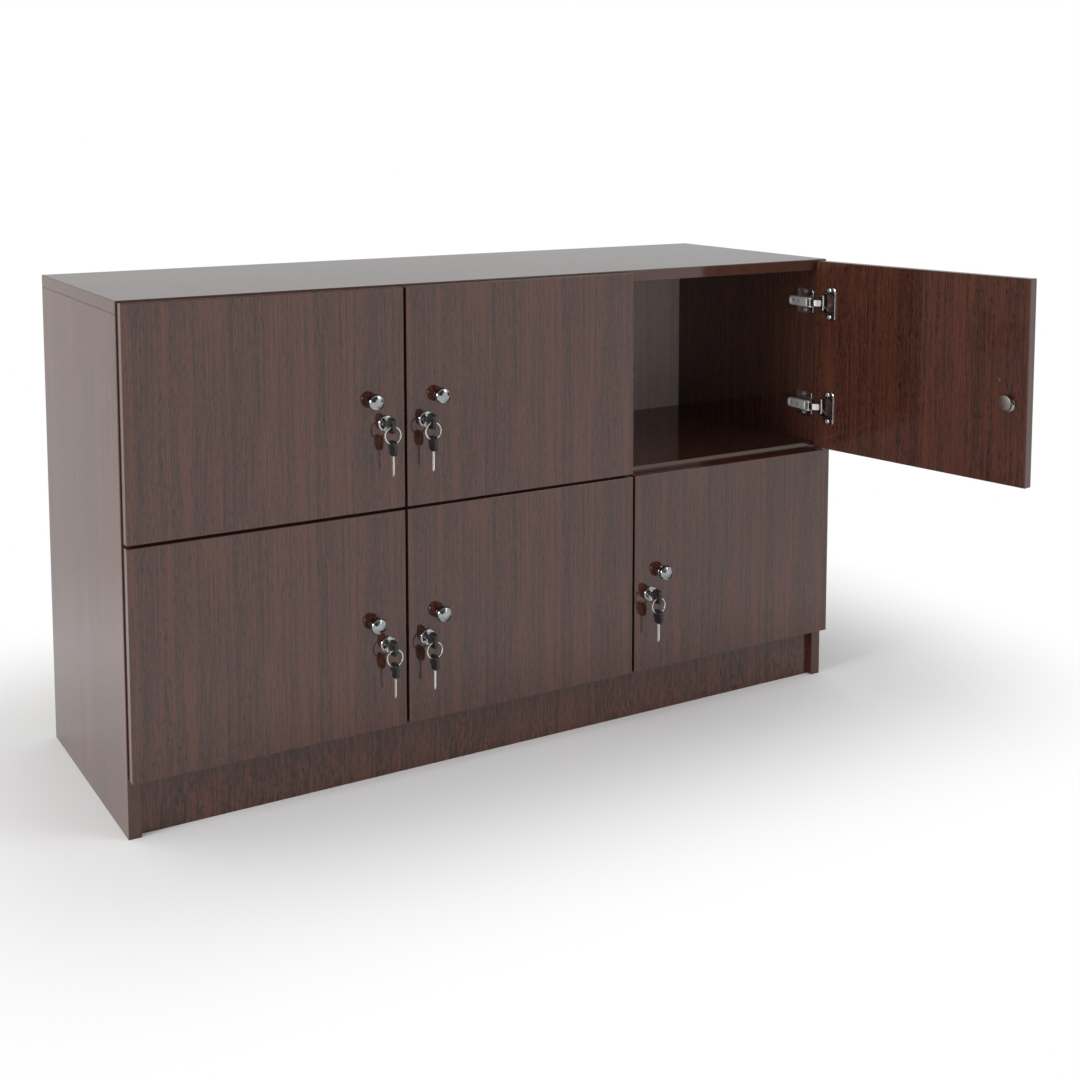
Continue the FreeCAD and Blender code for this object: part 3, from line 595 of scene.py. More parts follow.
def wood_grain() -> bpy.types.NodeTree:
    """Make straight wood grain along Z: broad bands, fine wavering lines and short dark pores.

    Places sway sideways by waver times a slow noise. The wide tone is the mean of the broad and the band
    noise, and the narrow tone is 0.95 line + 0.45 dash. The share of the light colour is
    0.5 + contrast * (breadth * (wide - 0.5) + narrow - 0.7). Pores crowd where the wide tone is dark. The
    relief is 0.3 line - pores.

    Returns:
        The group.
    """
    values = "Fineness Contrast Waver Breadth"
    takes = {Kind.VECTOR: "Vector", Kind.COLOUR: "Light Dark Pore", Kind.VALUE: values}
    effect = SharedEffect("wood_grain", takes, {Kind.COLOUR: "Color", Kind.VALUE: "Relief"})
    nodes, given = effect.nodes, effect.given
    wander = nodes.math("SUBTRACT", nodes.noise(given["Vector"], WANDER_WAVES), 0.5)
    sway = nodes.math("MULTIPLY", wander, given["Waver"])
    shift = nodes.node("CombineXYZ", {"X": sway, "Y": sway, "Z": 0.0})
    fine = nodes.node("CombineXYZ", {"X": given["Fineness"], "Y": given["Fineness"], "Z": 1.0})
    bent = nodes.vector("MULTIPLY", nodes.vector("ADD", given["Vector"], shift.outputs[0]), fine.outputs[0])
    broad = nodes.noise(bent, BROAD_WAVES, 1.0)
    band = nodes.noise(bent, BAND_WAVES)
    line = nodes.noise(bent, LINE_WAVES, roughness=0.6)
    dash = nodes.noise(bent, DASH_WAVES, 1.0)
    wide = nodes.blend(band, 0.5, broad, 0.5)
    narrow = nodes.blend(dash, 0.45, line, 0.95)
    swell = nodes.math("MULTIPLY", nodes.math("SUBTRACT", wide, 0.5), given["Breadth"])
    centred = nodes.math("ADD", swell, nodes.math("SUBTRACT", narrow, 0.7))
    stretched = nodes.math("MULTIPLY_ADD", centred, given["Contrast"], 0.5)
    colour = nodes.mix(nodes.rise(stretched, 0.0, 1.0), given["Dark"], given["Light"])
    pore = nodes.rise(nodes.noise(bent, PORE_WAVES, 1.0), *PORE_RISE)
    crowd = nodes.rise(wide, *CROWD_RISE)
    mark = nodes.math("MULTIPLY", pore, crowd)
    nodes.feed(effect.result["Color"], nodes.mix(mark, colour, given["Pore"]))
    nodes.feed(effect.result["Relief"], nodes.math("SUBTRACT", nodes.math("MULTIPLY", line, 0.3), mark))
    return effect.group


def edge_band() -> bpy.types.NodeTree:
    """Make a mask of a board's edges: points within a width of the half sizes, measured from its middle.

    Returns:
        The group.
    """
    takes = {Kind.VECTOR: "Vector Half", Kind.VALUE: "Width"}
    effect = SharedEffect("edge_band", takes, {Kind.VALUE: "Mask"})
    nodes, given = effect.nodes, effect.given
    beyond = nodes.vector("SUBTRACT", nodes.vector("ABSOLUTE", given["Vector"]), given["Half"])
    parts = nodes.parts(beyond)
    most = nodes.math("MAXIMUM", nodes.math("MAXIMUM", parts[0], parts[1]), parts[2])
    over = nodes.math("ADD", most, given["Width"])
    nodes.feed(effect.result["Mask"], nodes.rise(over, *BAND_RISE))
    return effect.group


def raw_core() -> bpy.types.NodeTree:
    """Make bare chipboard: pale and dark flakes pressed together, with a pitted relief.

    The share of the pale colour is 0.6 times a tint for each flake plus 0.5 times a fine crumb.

    Returns:
        The group.
    """
    takes = {Kind.VECTOR: "Vector", Kind.COLOUR: "Pale Brown"}
    effect = SharedEffect("raw_core", takes, {Kind.COLOUR: "Color", Kind.VALUE: "Relief"})
    nodes, given = effect.nodes, effect.given
    scaled = nodes.vector("MULTIPLY", given["Vector"], FLAKE_WAVES)
    flakes = nodes.node("TexVoronoi", {"Vector": scaled, "Scale": 1.0})
    tint = nodes.node("SeparateColor", {"Color": flakes.outputs["Color"]}).outputs[0]
    crumb = nodes.noise(given["Vector"], CRUMB_WAVES)
    share = nodes.blend(crumb, 0.5, tint, 0.6)
    nodes.feed(effect.result["Color"], nodes.mix(share, given["Brown"], given["Pale"]))
    nodes.feed(effect.result["Relief"], crumb)
    return effect.group


def handled_gloss() -> bpy.types.NodeTree:
    """Make a roughness that drifts between two values: 0.7 soft smudges + 0.3 fine wiping streaks.

    Returns:
        The group.
    """
    takes = {Kind.VECTOR: "Vector", Kind.VALUE: "Least Most Spread"}
    effect = SharedEffect("handled_gloss", takes, {Kind.VALUE: "Roughness"})
    nodes, given = effect.nodes, effect.given
    cloud = nodes.noise(nodes.scaled(given["Vector"], given["Spread"]), CLOUD_WAVES, 4.0, 0.6)
    wipe = nodes.noise(given["Vector"], WIPE_WAVES)
    rough = nodes.rise(nodes.blend(wipe, 0.3, cloud, 0.7), *GLOSS_RISE, given["Least"], given["Most"])
    nodes.feed(effect.result["Roughness"], rough)
    return effect.group


def tone_drift() -> bpy.types.NodeTree:
    """Make a colour that drifts between two near tones: 0.65 soft clouds + 0.35 fine specks.

    Returns:
        The group.
    """
    takes = {Kind.VECTOR: "Vector", Kind.COLOUR: "First Second", Kind.VALUE: "Spread"}
    effect = SharedEffect("tone_drift", takes, {Kind.COLOUR: "Color"})
    nodes, given = effect.nodes, effect.given
    scaled = nodes.scaled(given["Vector"], given["Spread"])
    cloud = nodes.noise(scaled, CLOUD_WAVES, 3.0)
    speck = nodes.noise(scaled, SPECK_WAVES)
    share = nodes.rise(nodes.blend(speck, 0.35, cloud, 0.65), *TONE_RISE)
    nodes.feed(effect.result["Color"], nodes.mix(share, given["First"], given["Second"]))
    return effect.group


def fine_relief() -> bpy.types.NodeTree:
    """Make a fine surface relief from one noise, stretched to tool lines or to an even grit.

    Returns:
        The group.
    """
    effect = SharedEffect("fine_relief", {Kind.VECTOR: "Vector Stretch"}, {Kind.VALUE: "Height"})
    lines = effect.nodes.noise(effect.given["Vector"], effect.given["Stretch"], 3.0, 0.6)
    effect.nodes.feed(effect.result["Height"], lines)
    return effect.group


@dataclass(frozen=True)
class Effects:
    """The shared effects, each built once."""

    grain: bpy.types.NodeTree
    band: bpy.types.NodeTree
    core: bpy.types.NodeTree
    gloss: bpy.types.NodeTree
    drift: bpy.types.NodeTree
    relief: bpy.types.NodeTree

    @classmethod
    def build(cls) -> "Effects":
        """Build every shared effect."""
        return cls(wood_grain(), edge_band(), raw_core(), handled_gloss(), tone_drift(), fine_relief())


# Finishes


def rgba(colour: Colour) -> tuple[float, float, float, float]:
    """Return a colour with full alpha."""
    return (*colour, 1.0)


def new_material(name: str) -> tuple[Material, Tree, bpy.types.Node]:
    """Make a material that holds only a surface shader and its output.

    Args:
        name: Name of the material.

    Returns:
        The material, its nodes and its surface shader.
    """
    material = bpy.data.materials.new(name)
    nodes = Tree.cleared(material)
    shader = nodes.node("BsdfPrincipled")
    nodes.node("OutputMaterial", {"Surface": shader.outputs[0]})
    return material, nodes, shader


@dataclass(frozen=True)
class Finish:
    """A plated metal or a moulded plastic: two tones, a range of roughness and a fine relief."""

    name: str
    first: Colour
    second: Colour
    gloss: Pair
    metallic: float
    relief: float
    stretch: Place = GRIT
    spread: float = 90.0
    bump: float = 0.5

    def material(self, effects: Effects) -> Material:
        """Build the finish as a material.

        Args:
            effects: Shared effects.

        Returns:
            The material.
        """
        material, nodes, shader = new_material(self.name)
        place = nodes.node("TexCoord").outputs["Object"]
        tones = {"First": rgba(self.first), "Second": rgba(self.second)}
        drift = nodes.shared(effects.drift, Vector=place, Spread=self.spread, **tones)
        least, most = self.gloss
        gloss = nodes.shared(effects.gloss, Vector=place, Least=least, Most=most, Spread=self.spread)
        lines = nodes.shared(effects.relief, Vector=place, Stretch=self.stretch)
        bump = nodes.node("Bump", {"Height": lines[0], "Strength": self.bump, "Distance": self.relief})
        shader.inputs["Metallic"].default_value = self.metallic
        nodes.feed(shader.inputs["Base Color"], drift[0])
        nodes.feed(shader.inputs["Roughness"], gloss[0])
        nodes.feed(shader.inputs["Normal"], bump.outputs[0])
        return material


class Hardware(Enum):
    """Every finish of the hardware."""

    CHROME = Finish("knob_chrome", (0.37, 0.37, 0.375), (0.30, 0.30, 0.305), (0.04, 0.09), 1.0, 1e-6, DRAWN)
    NICKEL = Finish("hinge_nickel", (0.66, 0.65, 0.63), (0.54, 0.53, 0.52), (0.16, 0.28), 1.0, 3e-6, DRAWN)
    ZINC = Finish("screw_zinc", (0.66, 0.66, 0.67), (0.54, 0.54, 0.56), (0.22, 0.36), 0.8, 3e-6)
    BLADE = Finish("blade_steel", (0.86, 0.85, 0.83), (0.74, 0.73, 0.72), (0.24, 0.36), 0.8, 3e-6, DRAWN)
    PLASTIC = Finish("bow_plastic", (0.013, 0.012, 0.012), (0.019, 0.018, 0.018), (0.28, 0.42), 0.0, 2e-5)
    SATIN = Finish("arm_satin", (0.76, 0.75, 0.73), (0.66, 0.65, 0.63), (0.28, 0.42), 0.55, 4e-6, DRAWN)
    CAP = Finish("cap_brown", (0.070, 0.026, 0.017), (0.052, 0.020, 0.014), (0.20, 0.32), 0.0, 1e-5)
    BRONZE = Finish("strike_bronze", (0.036, 0.024, 0.019), (0.026, 0.018, 0.015), (0.3, 0.45), 0.3, 5e-6)
    # Cup bowls: nickel darkened and tinted reddish, painted shade for the hollow and a painted reflection
    # of the brown door
    DUSK = Finish("cup_painted_shade", (0.17, 0.12, 0.10), (0.12, 0.08, 0.07), (0.24, 0.36), 0.9, 2e-6, DRAWN)
    PEWTER = Finish("cam_pewter", (0.25, 0.215, 0.195), (0.21, 0.18, 0.16), (0.22, 0.32), 0.9, 1e-6)
    BRIGHT = Finish("lock_chrome", (0.44, 0.44, 0.445), (0.37, 0.37, 0.375), (0.05, 0.10), 1.0, 1e-6, DRAWN)


Materials = dict[Hardware, Material]


@dataclass(frozen=True)
class BoardPlace:
    """Where a board's own middle lies, how its grain is turned and where its edges are."""

    middle: Place
    turn: Place
    half: Place


@dataclass(frozen=True)
class Laminate:
    """A dark wood laminate with plain edge bands and bare chipboard on hidden rear edges."""

    light: Colour = (0.112, 0.036, 0.022)
    dark: Colour = (0.041, 0.0175, 0.013)
    pore: Colour = (0.014, 0.009, 0.009)
    fineness: float = 1.3
    contrast: float = 2.3
    waver: float = 0.006
    breadth: float = 0.75
    band: Colour = (0.075, 0.028, 0.018)
    band_shade: float = 0.8
    band_spread: float = 60.0
    band_width: float = 1.0 * MM
    pale_core: Colour = (0.30, 0.19, 0.11)
    brown_core: Colour = (0.16, 0.09, 0.05)
    core_roughness: float = 0.6
    core_edge: float = 0.1 * MM
    gloss: Pair = (0.05, 0.09)
    gloss_spread: float = 9.0
    ior: float = 1.6
    bump: float = 0.4
    relief: float = 0.02 * MM

    def material(self, name: str, place: BoardPlace, rear: float, effects: Effects) -> Material:
        """Build the laminate for one board.

        Args:
            name: Name of the material.
            place: Where the board lies.
            rear: Y behind which the board shows its bare core.
            effects: Shared effects.

        Returns:
            The material.
        """
        material, nodes, shader = new_material(name)
        world = nodes.node("TexCoord").outputs["Object"]
        values = {"Vector": world, "Location": place.middle, "Rotation": place.turn}
        local = nodes.node("Mapping", values, vector_type="TEXTURE").outputs[0]
        grain = nodes.shared(
            effects.grain, Vector=local, Light=rgba(self.light), Dark=rgba(self.dark), Pore=rgba(self.pore),
            Fineness=self.fineness, Contrast=self.contrast, Waver=self.waver, Breadth=self.breadth,
        )
        edge = nodes.shared(effects.band, Vector=local, Half=place.half, Width=self.band_width)[0]
        shade = tuple(self.band_shade * part for part in self.band)
        tones = {"First": rgba(self.band), "Second": rgba(shade)}
        drift = nodes.shared(effects.drift, Vector=local, Spread=self.band_spread, **tones)
        tones = {"Pale": rgba(self.pale_core), "Brown": rgba(self.brown_core)}
        core = nodes.shared(effects.core, Vector=world, **tones)
        bare = nodes.rise(nodes.parts(world)[1], rear - self.core_edge, rear)
        faced = nodes.mix(edge, grain["Color"], drift[0])
        nodes.feed(shader.inputs["Base Color"], nodes.mix(bare, faced, core["Color"]))
        least, most = self.gloss
        gloss = nodes.shared(effects.gloss, Vector=local, Least=least, Most=most, Spread=self.gloss_spread)
        rough = nodes.math("MULTIPLY_ADD", bare, self.core_roughness, gloss[0])
        nodes.feed(shader.inputs["Roughness"], rough)
        printed = nodes.math("MULTIPLY", grain["Relief"], nodes.math("SUBTRACT", 1.0, edge))
        pitted = nodes.math("MULTIPLY_ADD", core["Relief"], bare, printed)
        bump = nodes.node("Bump", {"Height": pitted, "Strength": self.bump, "Distance": self.relief})
        nodes.feed(shader.inputs["Normal"], bump.outputs[0])
        shader.inputs["IOR"].default_value = self.ior
        return material


PLINTH_LAMINATE = Laminate(fineness=0.62, contrast=3.2, waver=0.03, breadth=0.45)
BACK_LAMINATE = Laminate(
    light=(0.66, 0.51, 0.46), dark=(0.54, 0.42, 0.38), pore=(0.46, 0.36, 0.33),
    fineness=1.0, contrast=2.0, gloss=(0.25, 0.35),
)


# Sub-assemblies, in millimetres

DOOR_THICKNESS = 16.0
HINGE_INSET = 70.0
LOCK_INSET = 29.5
LOCK_LEVEL = 124.0
ARM_PIN = (32.7, 16.82)

# Turn of a lever for each turn of its door, the other way
LEVER_SHARE = 0.3766

# Names of the rows, and the name, hinge side and overlay of each column
ROWS = ("upper", "lower")
COLUMNS = (("left", Hand.LEFT, 16.0), ("middle", Hand.RIGHT, 7.0), ("right", Hand.RIGHT, 16.0))


@dataclass(frozen=True)
class Door:
    """One door as it hangs: its size and overlay, and the axes of its leaf and its fixed hinge halves."""

    name: str
    width: float
    height: float
    leaf: Axes
    closed: Axes
    lever_turn: float
    overlay: float

    @property
    def hinge_levels(self) -> Pair:
        """Heights of the two hinges over the door's lower edge."""
        return (HINGE_INSET, self.height - HINGE_INSET)

    @property
    def lock_axis(self) -> Axes:
        """Axes with their origin on the lock's middle, in the door's front face."""
        return self.leaf.moved(self.width - LOCK_INSET, LOCK_LEVEL, 0)

    @classmethod
    def hung(cls, row: str, column: str, hand: Hand, overlay: float) -> "Door":
        """Read how a door hangs from the frame's joints, and its size from the closed door of its column.

        Args:
            row: Row of the door.
            column: Column of the door.
            hand: Side of its hinges.
            overlay: How far it covers the board that carries its hinges.

        Returns:
            The door.
        """
        joints = {joint["name"]: joint for joint in frame["joints"]}
        name = f"{row}_{column}"
        low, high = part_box(f"lower_{column}_door")
        width, height = ((high - low).x / MM, (high - low).z / MM)
        lock = joints[f"{name}_lock_turn"]
        inward = hand.value * np.array(lock["axis"], float)
        along = hand.value * np.array([inward[1], -inward[0], 0.0])
        edge = np.array(lock["pos_m"], float) - MM * ((width - LOCK_INSET) * along + LOCK_LEVEL * UP)
        sideways = np.array([hand.value, 0.0, 0.0])
        depthwise = np.array([0.0, 1.0, 0.0])
        pivot = np.array(joints[f"{name}_lever_pivot"]["pos_m"], float)
        case_edge = pivot - MM * (ARM_PIN[0] * sideways + ARM_PIN[1] * depthwise)
        case_edge[2] = edge[2]
        opened = math.atan2(-inward[0], inward[1])
        return cls(
            name, width, height, Axes(edge, along, UP, inward), Axes(case_edge, sideways, UP, depthwise),
            -LEVER_SHARE * opened * hand.value, overlay,
        )


@dataclass(frozen=True)
class ScrewHead:
    """A low domed screw head with a cross recess, whose sizes are shares of its radius and rise."""

    radius: float
    rise: float
    fall: float = 0.6
    rim: float = 0.96
    cross_half: float = 0.14
    cross_reach: float = 0.62
    cross_depth: float = 0.6
    cross_edge: Pair = (0.85, 1.15)
    rings: int = 16

    def grid(self, base: float) -> np.ndarray:
        """Draw the head on a polar grid.

        The dome is rise * sqrt(1 - fall * (r / R)^2) up to its rim, and the cross is sunk where a point is
        inside either of two crossing bars.

        Args:
            base: Height of the surface that the head sits on.

        Returns:
            A grid from the middle of the underside round to the middle of the dome.
        """
        shares = np.concatenate([[1.0, 1.0], np.linspace(self.rim, 0.0, self.rings)])
        flat = self.radius * shares[:, None, None] * circle(1)[None]
        across = np.abs(flat) / self.radius
        bars = np.maximum(across / self.cross_half, across[..., ::-1] / self.cross_reach)
        dome = self.rise * np.sqrt(1 - self.fall * shares[:, None] ** 2)
        sunk = 1 - smooth_step(bars.min(axis=-1), *self.cross_edge)
        height = base + dome - self.cross_depth * self.rise * sunk
        height[0] = base
        top = np.concatenate([flat, height[..., None]], axis=-1)
        under = np.broadcast_to(base * UP, (1, *top.shape[1:]))
        return np.concatenate([under, top])


@dataclass(frozen=True)
class DoorPart:
    """A sub-assembly of one door, with the materials that it is dressed in."""

    door: Door
    materials: Materials

    def fit(self, part: str, skin: Skin, finish: Hardware, body: Body, slot: Slot, *nodes: str) -> None:
        """Put a piece on one of the door's bodies, under the door's name.

        Args:
            part: Name of the piece on its door.
            skin: Its surfaces.
            finish: Its finish.
            body: Body of the door that carries it.
            slot: Record's slot, handed on to piece.
            nodes: Nodes of the door that it stands for.
        """
        name = self.door.name
        stood_for = [f"{name}_{node}" for node in nodes]
        piece(f"{name}_{part}", skin, self.materials[finish], f"{name}_{body.value}", slot, *stood_for)


@dataclass(frozen=True)
class Knob(DoorPart):
    """A round knob on a waisted neck, with the screw that holds it from inside."""

    inset: float = 50.0
    foot: float = 8.0
    foot_rise: float = 2.0
    foot_bevel: float = 0.3
    foot_edge: float = 0.5
    neck: float = 6.0
    cove: float = 2.0
    cove_steps: int = 9
    head: float = 12.0
    half: float = 7.0
    centre: float = 13.5
    squareness: float = 2.5
    head_steps: int = 44
    groove: float = 10.2
    groove_depth: float = 0.7
    groove_lean: float = 0.15
    face: float = 9.4
    face_steps: int = 36
    dome: float = 2.6
    boss: float = 0.4
    boss_edge: Pair = (6.6, 5.2)
    screw: ScrewHead = ScrewHead(3.6, 0.9)

    def profile(self) -> np.ndarray:
        """Draw the knob: a foot, a hollow cove to the neck, a rounded head and a domed face in a groove.

        The cove is a quarter circle. The head's radius goes with cos(t)^(2 / p) and its height with
        sin(t)^(2 / p) for a squareness p, up to the groove. The face rises from the groove's floor as
        dome * (1 - (r / R)^2), with a low boss in its middle.

        Returns:
            Radius and height of each point.
        """
        foot = [(0, 0), (self.foot - self.foot_bevel, 0), (self.foot, self.foot_bevel),
                (self.foot, self.foot_rise - self.foot_edge)]
        bend = np.linspace(0, QUARTER_TURN, self.cove_steps)
        cove_top = self.foot_rise + self.cove
        cove_radius = self.neck + self.cove * (1 - np.sin(bend))
        cove = np.stack([cove_radius, cove_top - self.cove * np.cos(bend)], axis=-1)
        power = 2 / self.squareness
        start, end = (math.acos((radius / self.head) ** (1 / power)) for radius in (self.neck, self.groove))
        angle = np.linspace(-start, end, self.head_steps)
        height = self.centre + self.half * np.sign(angle) * np.abs(np.sin(angle)) ** power
        head = np.stack([self.head * np.cos(angle) ** power, height], axis=-1)
        floor = height[-1] - self.groove_depth
        share = np.linspace(1, 0, self.face_steps)
        rise = self.dome * (1 - share ** 2) + self.boss * smooth_step(self.face * share, *self.boss_edge)
        face = np.stack([self.face * share, floor + rise], axis=-1)
        return np.concatenate([foot, cove, head, [(self.groove - self.groove_lean, floor)], face])

    def build(self) -> None:
        """Make the knob and its screw."""
        seat = self.door.leaf.moved(self.door.width - self.inset, self.door.height / 2, 0)
        turned = Skin().add(seat.outward(), lathe(self.profile()))
        self.fit("knob_head", turned, Hardware.CHROME, Body.LEAF, Slot.CHROME, "knob")
        fixing = Skin().add(seat, self.screw.grid(DOOR_THICKNESS))
        self.fit("knob_screw", fixing, Hardware.CAP, Body.LEAF, Slot.WOOD)


@dataclass(frozen=True)
class CamLock(DoorPart):
    """A cam lock: a dished rosette on a threaded barrel, a notched nut, a slotted core and a round cam."""

    rosette: float = 12.0
    rosette_rise: float = 3.0
    rim_curve: tuple[Pair, ...] = ((0, 0), (0, 0.45), (0.2, 0.65), (0.7, 0.88), (1.3, 1))
    dish: float = 8.8
    dish_rise: float = 1.2
    dish_bevel: Pair = (0.5, 0.4)
    bore: float = 6.1
    bore_bevel: float = 0.4
    barrel: float = 9.5
    barrel_end: float = 23.0
    barrel_bevel: float = 0.5
    thread_start: float = 0.4
    thread_pitch: float = 0.8
    thread_depth: float = 0.35
    thread_turns: int = 4
    nut: float = 11.0
    nut_rise: float = 3.0
    nut_bevel: float = 0.4
    nut_gap: float = 0.05
    notches: int = 6
    notch_depth: float = 0.9
    notch_edge: Pair = (0.8, 0.92)
    core: float = 6.0
    core_front: float = 1.6
    core_end: float = 23.3
    core_bevel: float = 0.5
    slot_half: Pair = (1.1, 3.35)
    slot_end: float = 21.1
    slot_round: float = 0.4
    slot_bevel: float = 0.3
    cam: float = 11.0
    cam_thickness: float = 2.6
    cam_bevel: float = 0.5
    cam_offset: float = 5.0

    def rosette_profile(self) -> np.ndarray:
        """Draw the rosette and barrel as a closed loop: rim, dish, bore, threaded end and back to the door.

        The thread's radius changes between crest and root every half pitch.

        Returns:
            Radius and height of each point.
        """
        rise, dish, bore = self.rosette_rise, self.dish, self.bore
        out, down = self.dish_bevel
        front = [
            *((self.rosette - step, share * rise) for step, share in self.rim_curve),
            (dish + out, rise), (dish, rise - down), (dish, self.dish_rise),
            (bore + self.bore_bevel, self.dish_rise), (bore, self.dish_rise - self.bore_bevel),
        ]
        back = [(bore, -self.barrel_end), (self.barrel - self.barrel_bevel, -self.barrel_end)]
        step = np.arange(2 * self.thread_turns + 1)
        crest = self.barrel - self.thread_depth * (step % 2 == 0)
        level = self.thread_start - self.barrel_end + step * self.thread_pitch / 2
        thread = np.stack([crest, level], axis=-1)
        return np.concatenate([front, back, thread, [(self.barrel, -DOOR_THICKNESS), (self.barrel, 0)]])

    def nut_loop(self) -> np.ndarray:
        """Draw the nut: a circle drawn in at evenly spaced notches where cos(n t) is near 1.

        Returns:
            A loop of points.
        """
        loop = circle(1, 2 * ROUND_STEPS)
        angle = np.arctan2(loop[:, 1], loop[:, 0])
        notch = smooth_step(np.cos(self.notches * angle), *self.notch_edge)
        return (self.nut - self.notch_depth * notch)[:, None] * loop

    def core_rows(self) -> np.ndarray:
        """Draw the core from the end of its key slot, out over its face, back along its wall to its rear.

        The face and the wall are circles with a point in the direction of each point of the slot.

        Returns:
            A grid of the core.
        """
        wide, tall = self.slot_half
        slot = rounded_box((-wide, -tall), (wide, tall), self.slot_round)
        middle = np.zeros_like(slot)
        wall = seen_from(slot, (0, 0), self.core)
        face = seen_from(slot, (0, 0), self.core - self.core_bevel)
        loops = [middle, slot, slot, inset(slot, -self.slot_bevel), face, wall, wall, middle]
        front = self.core_front
        face_heights = [front - self.slot_bevel, front, front, front - self.core_bevel]
        return layers(loops, [-self.slot_end] * 2 + face_heights + [-self.core_end] * 2)

    def build(self) -> None:
        """Make the lock."""
        axis = self.door.lock_axis
        rosette = Skin().add(axis.outward(), lathe(self.rosette_profile()), ring=True)
        self.fit("lock_rosette", rosette, Hardware.BRIGHT, Body.LEAF, Slot.CHROME, "lock_barrel")
        loop = self.nut_loop()
        hole = seen_from(loop, (0, 0), self.barrel + self.nut_gap)
        plate = slab(loop, DOOR_THICKNESS, DOOR_THICKNESS + self.nut_rise, self.nut_bevel, hole)
        self.fit("lock_nut", Skin().add(axis, plate, ring=True), Hardware.PEWTER, Body.LEAF, Slot.STEEL)
        core = Skin().add(axis.outward(), self.core_rows())
        self.fit("lock_core", core, Hardware.NICKEL, Body.LOCK, Slot.STEEL, "lock_plug")
        off = self.cam_offset * DIAGONAL
        disc = slab(circle(self.cam), self.core_end, self.core_end + self.cam_thickness, self.cam_bevel)
        cam = Skin().add(axis.moved(-off, off, 0), disc)
        self.fit("lock_cam", cam, Hardware.PEWTER, Body.LOCK, Slot.STEEL)


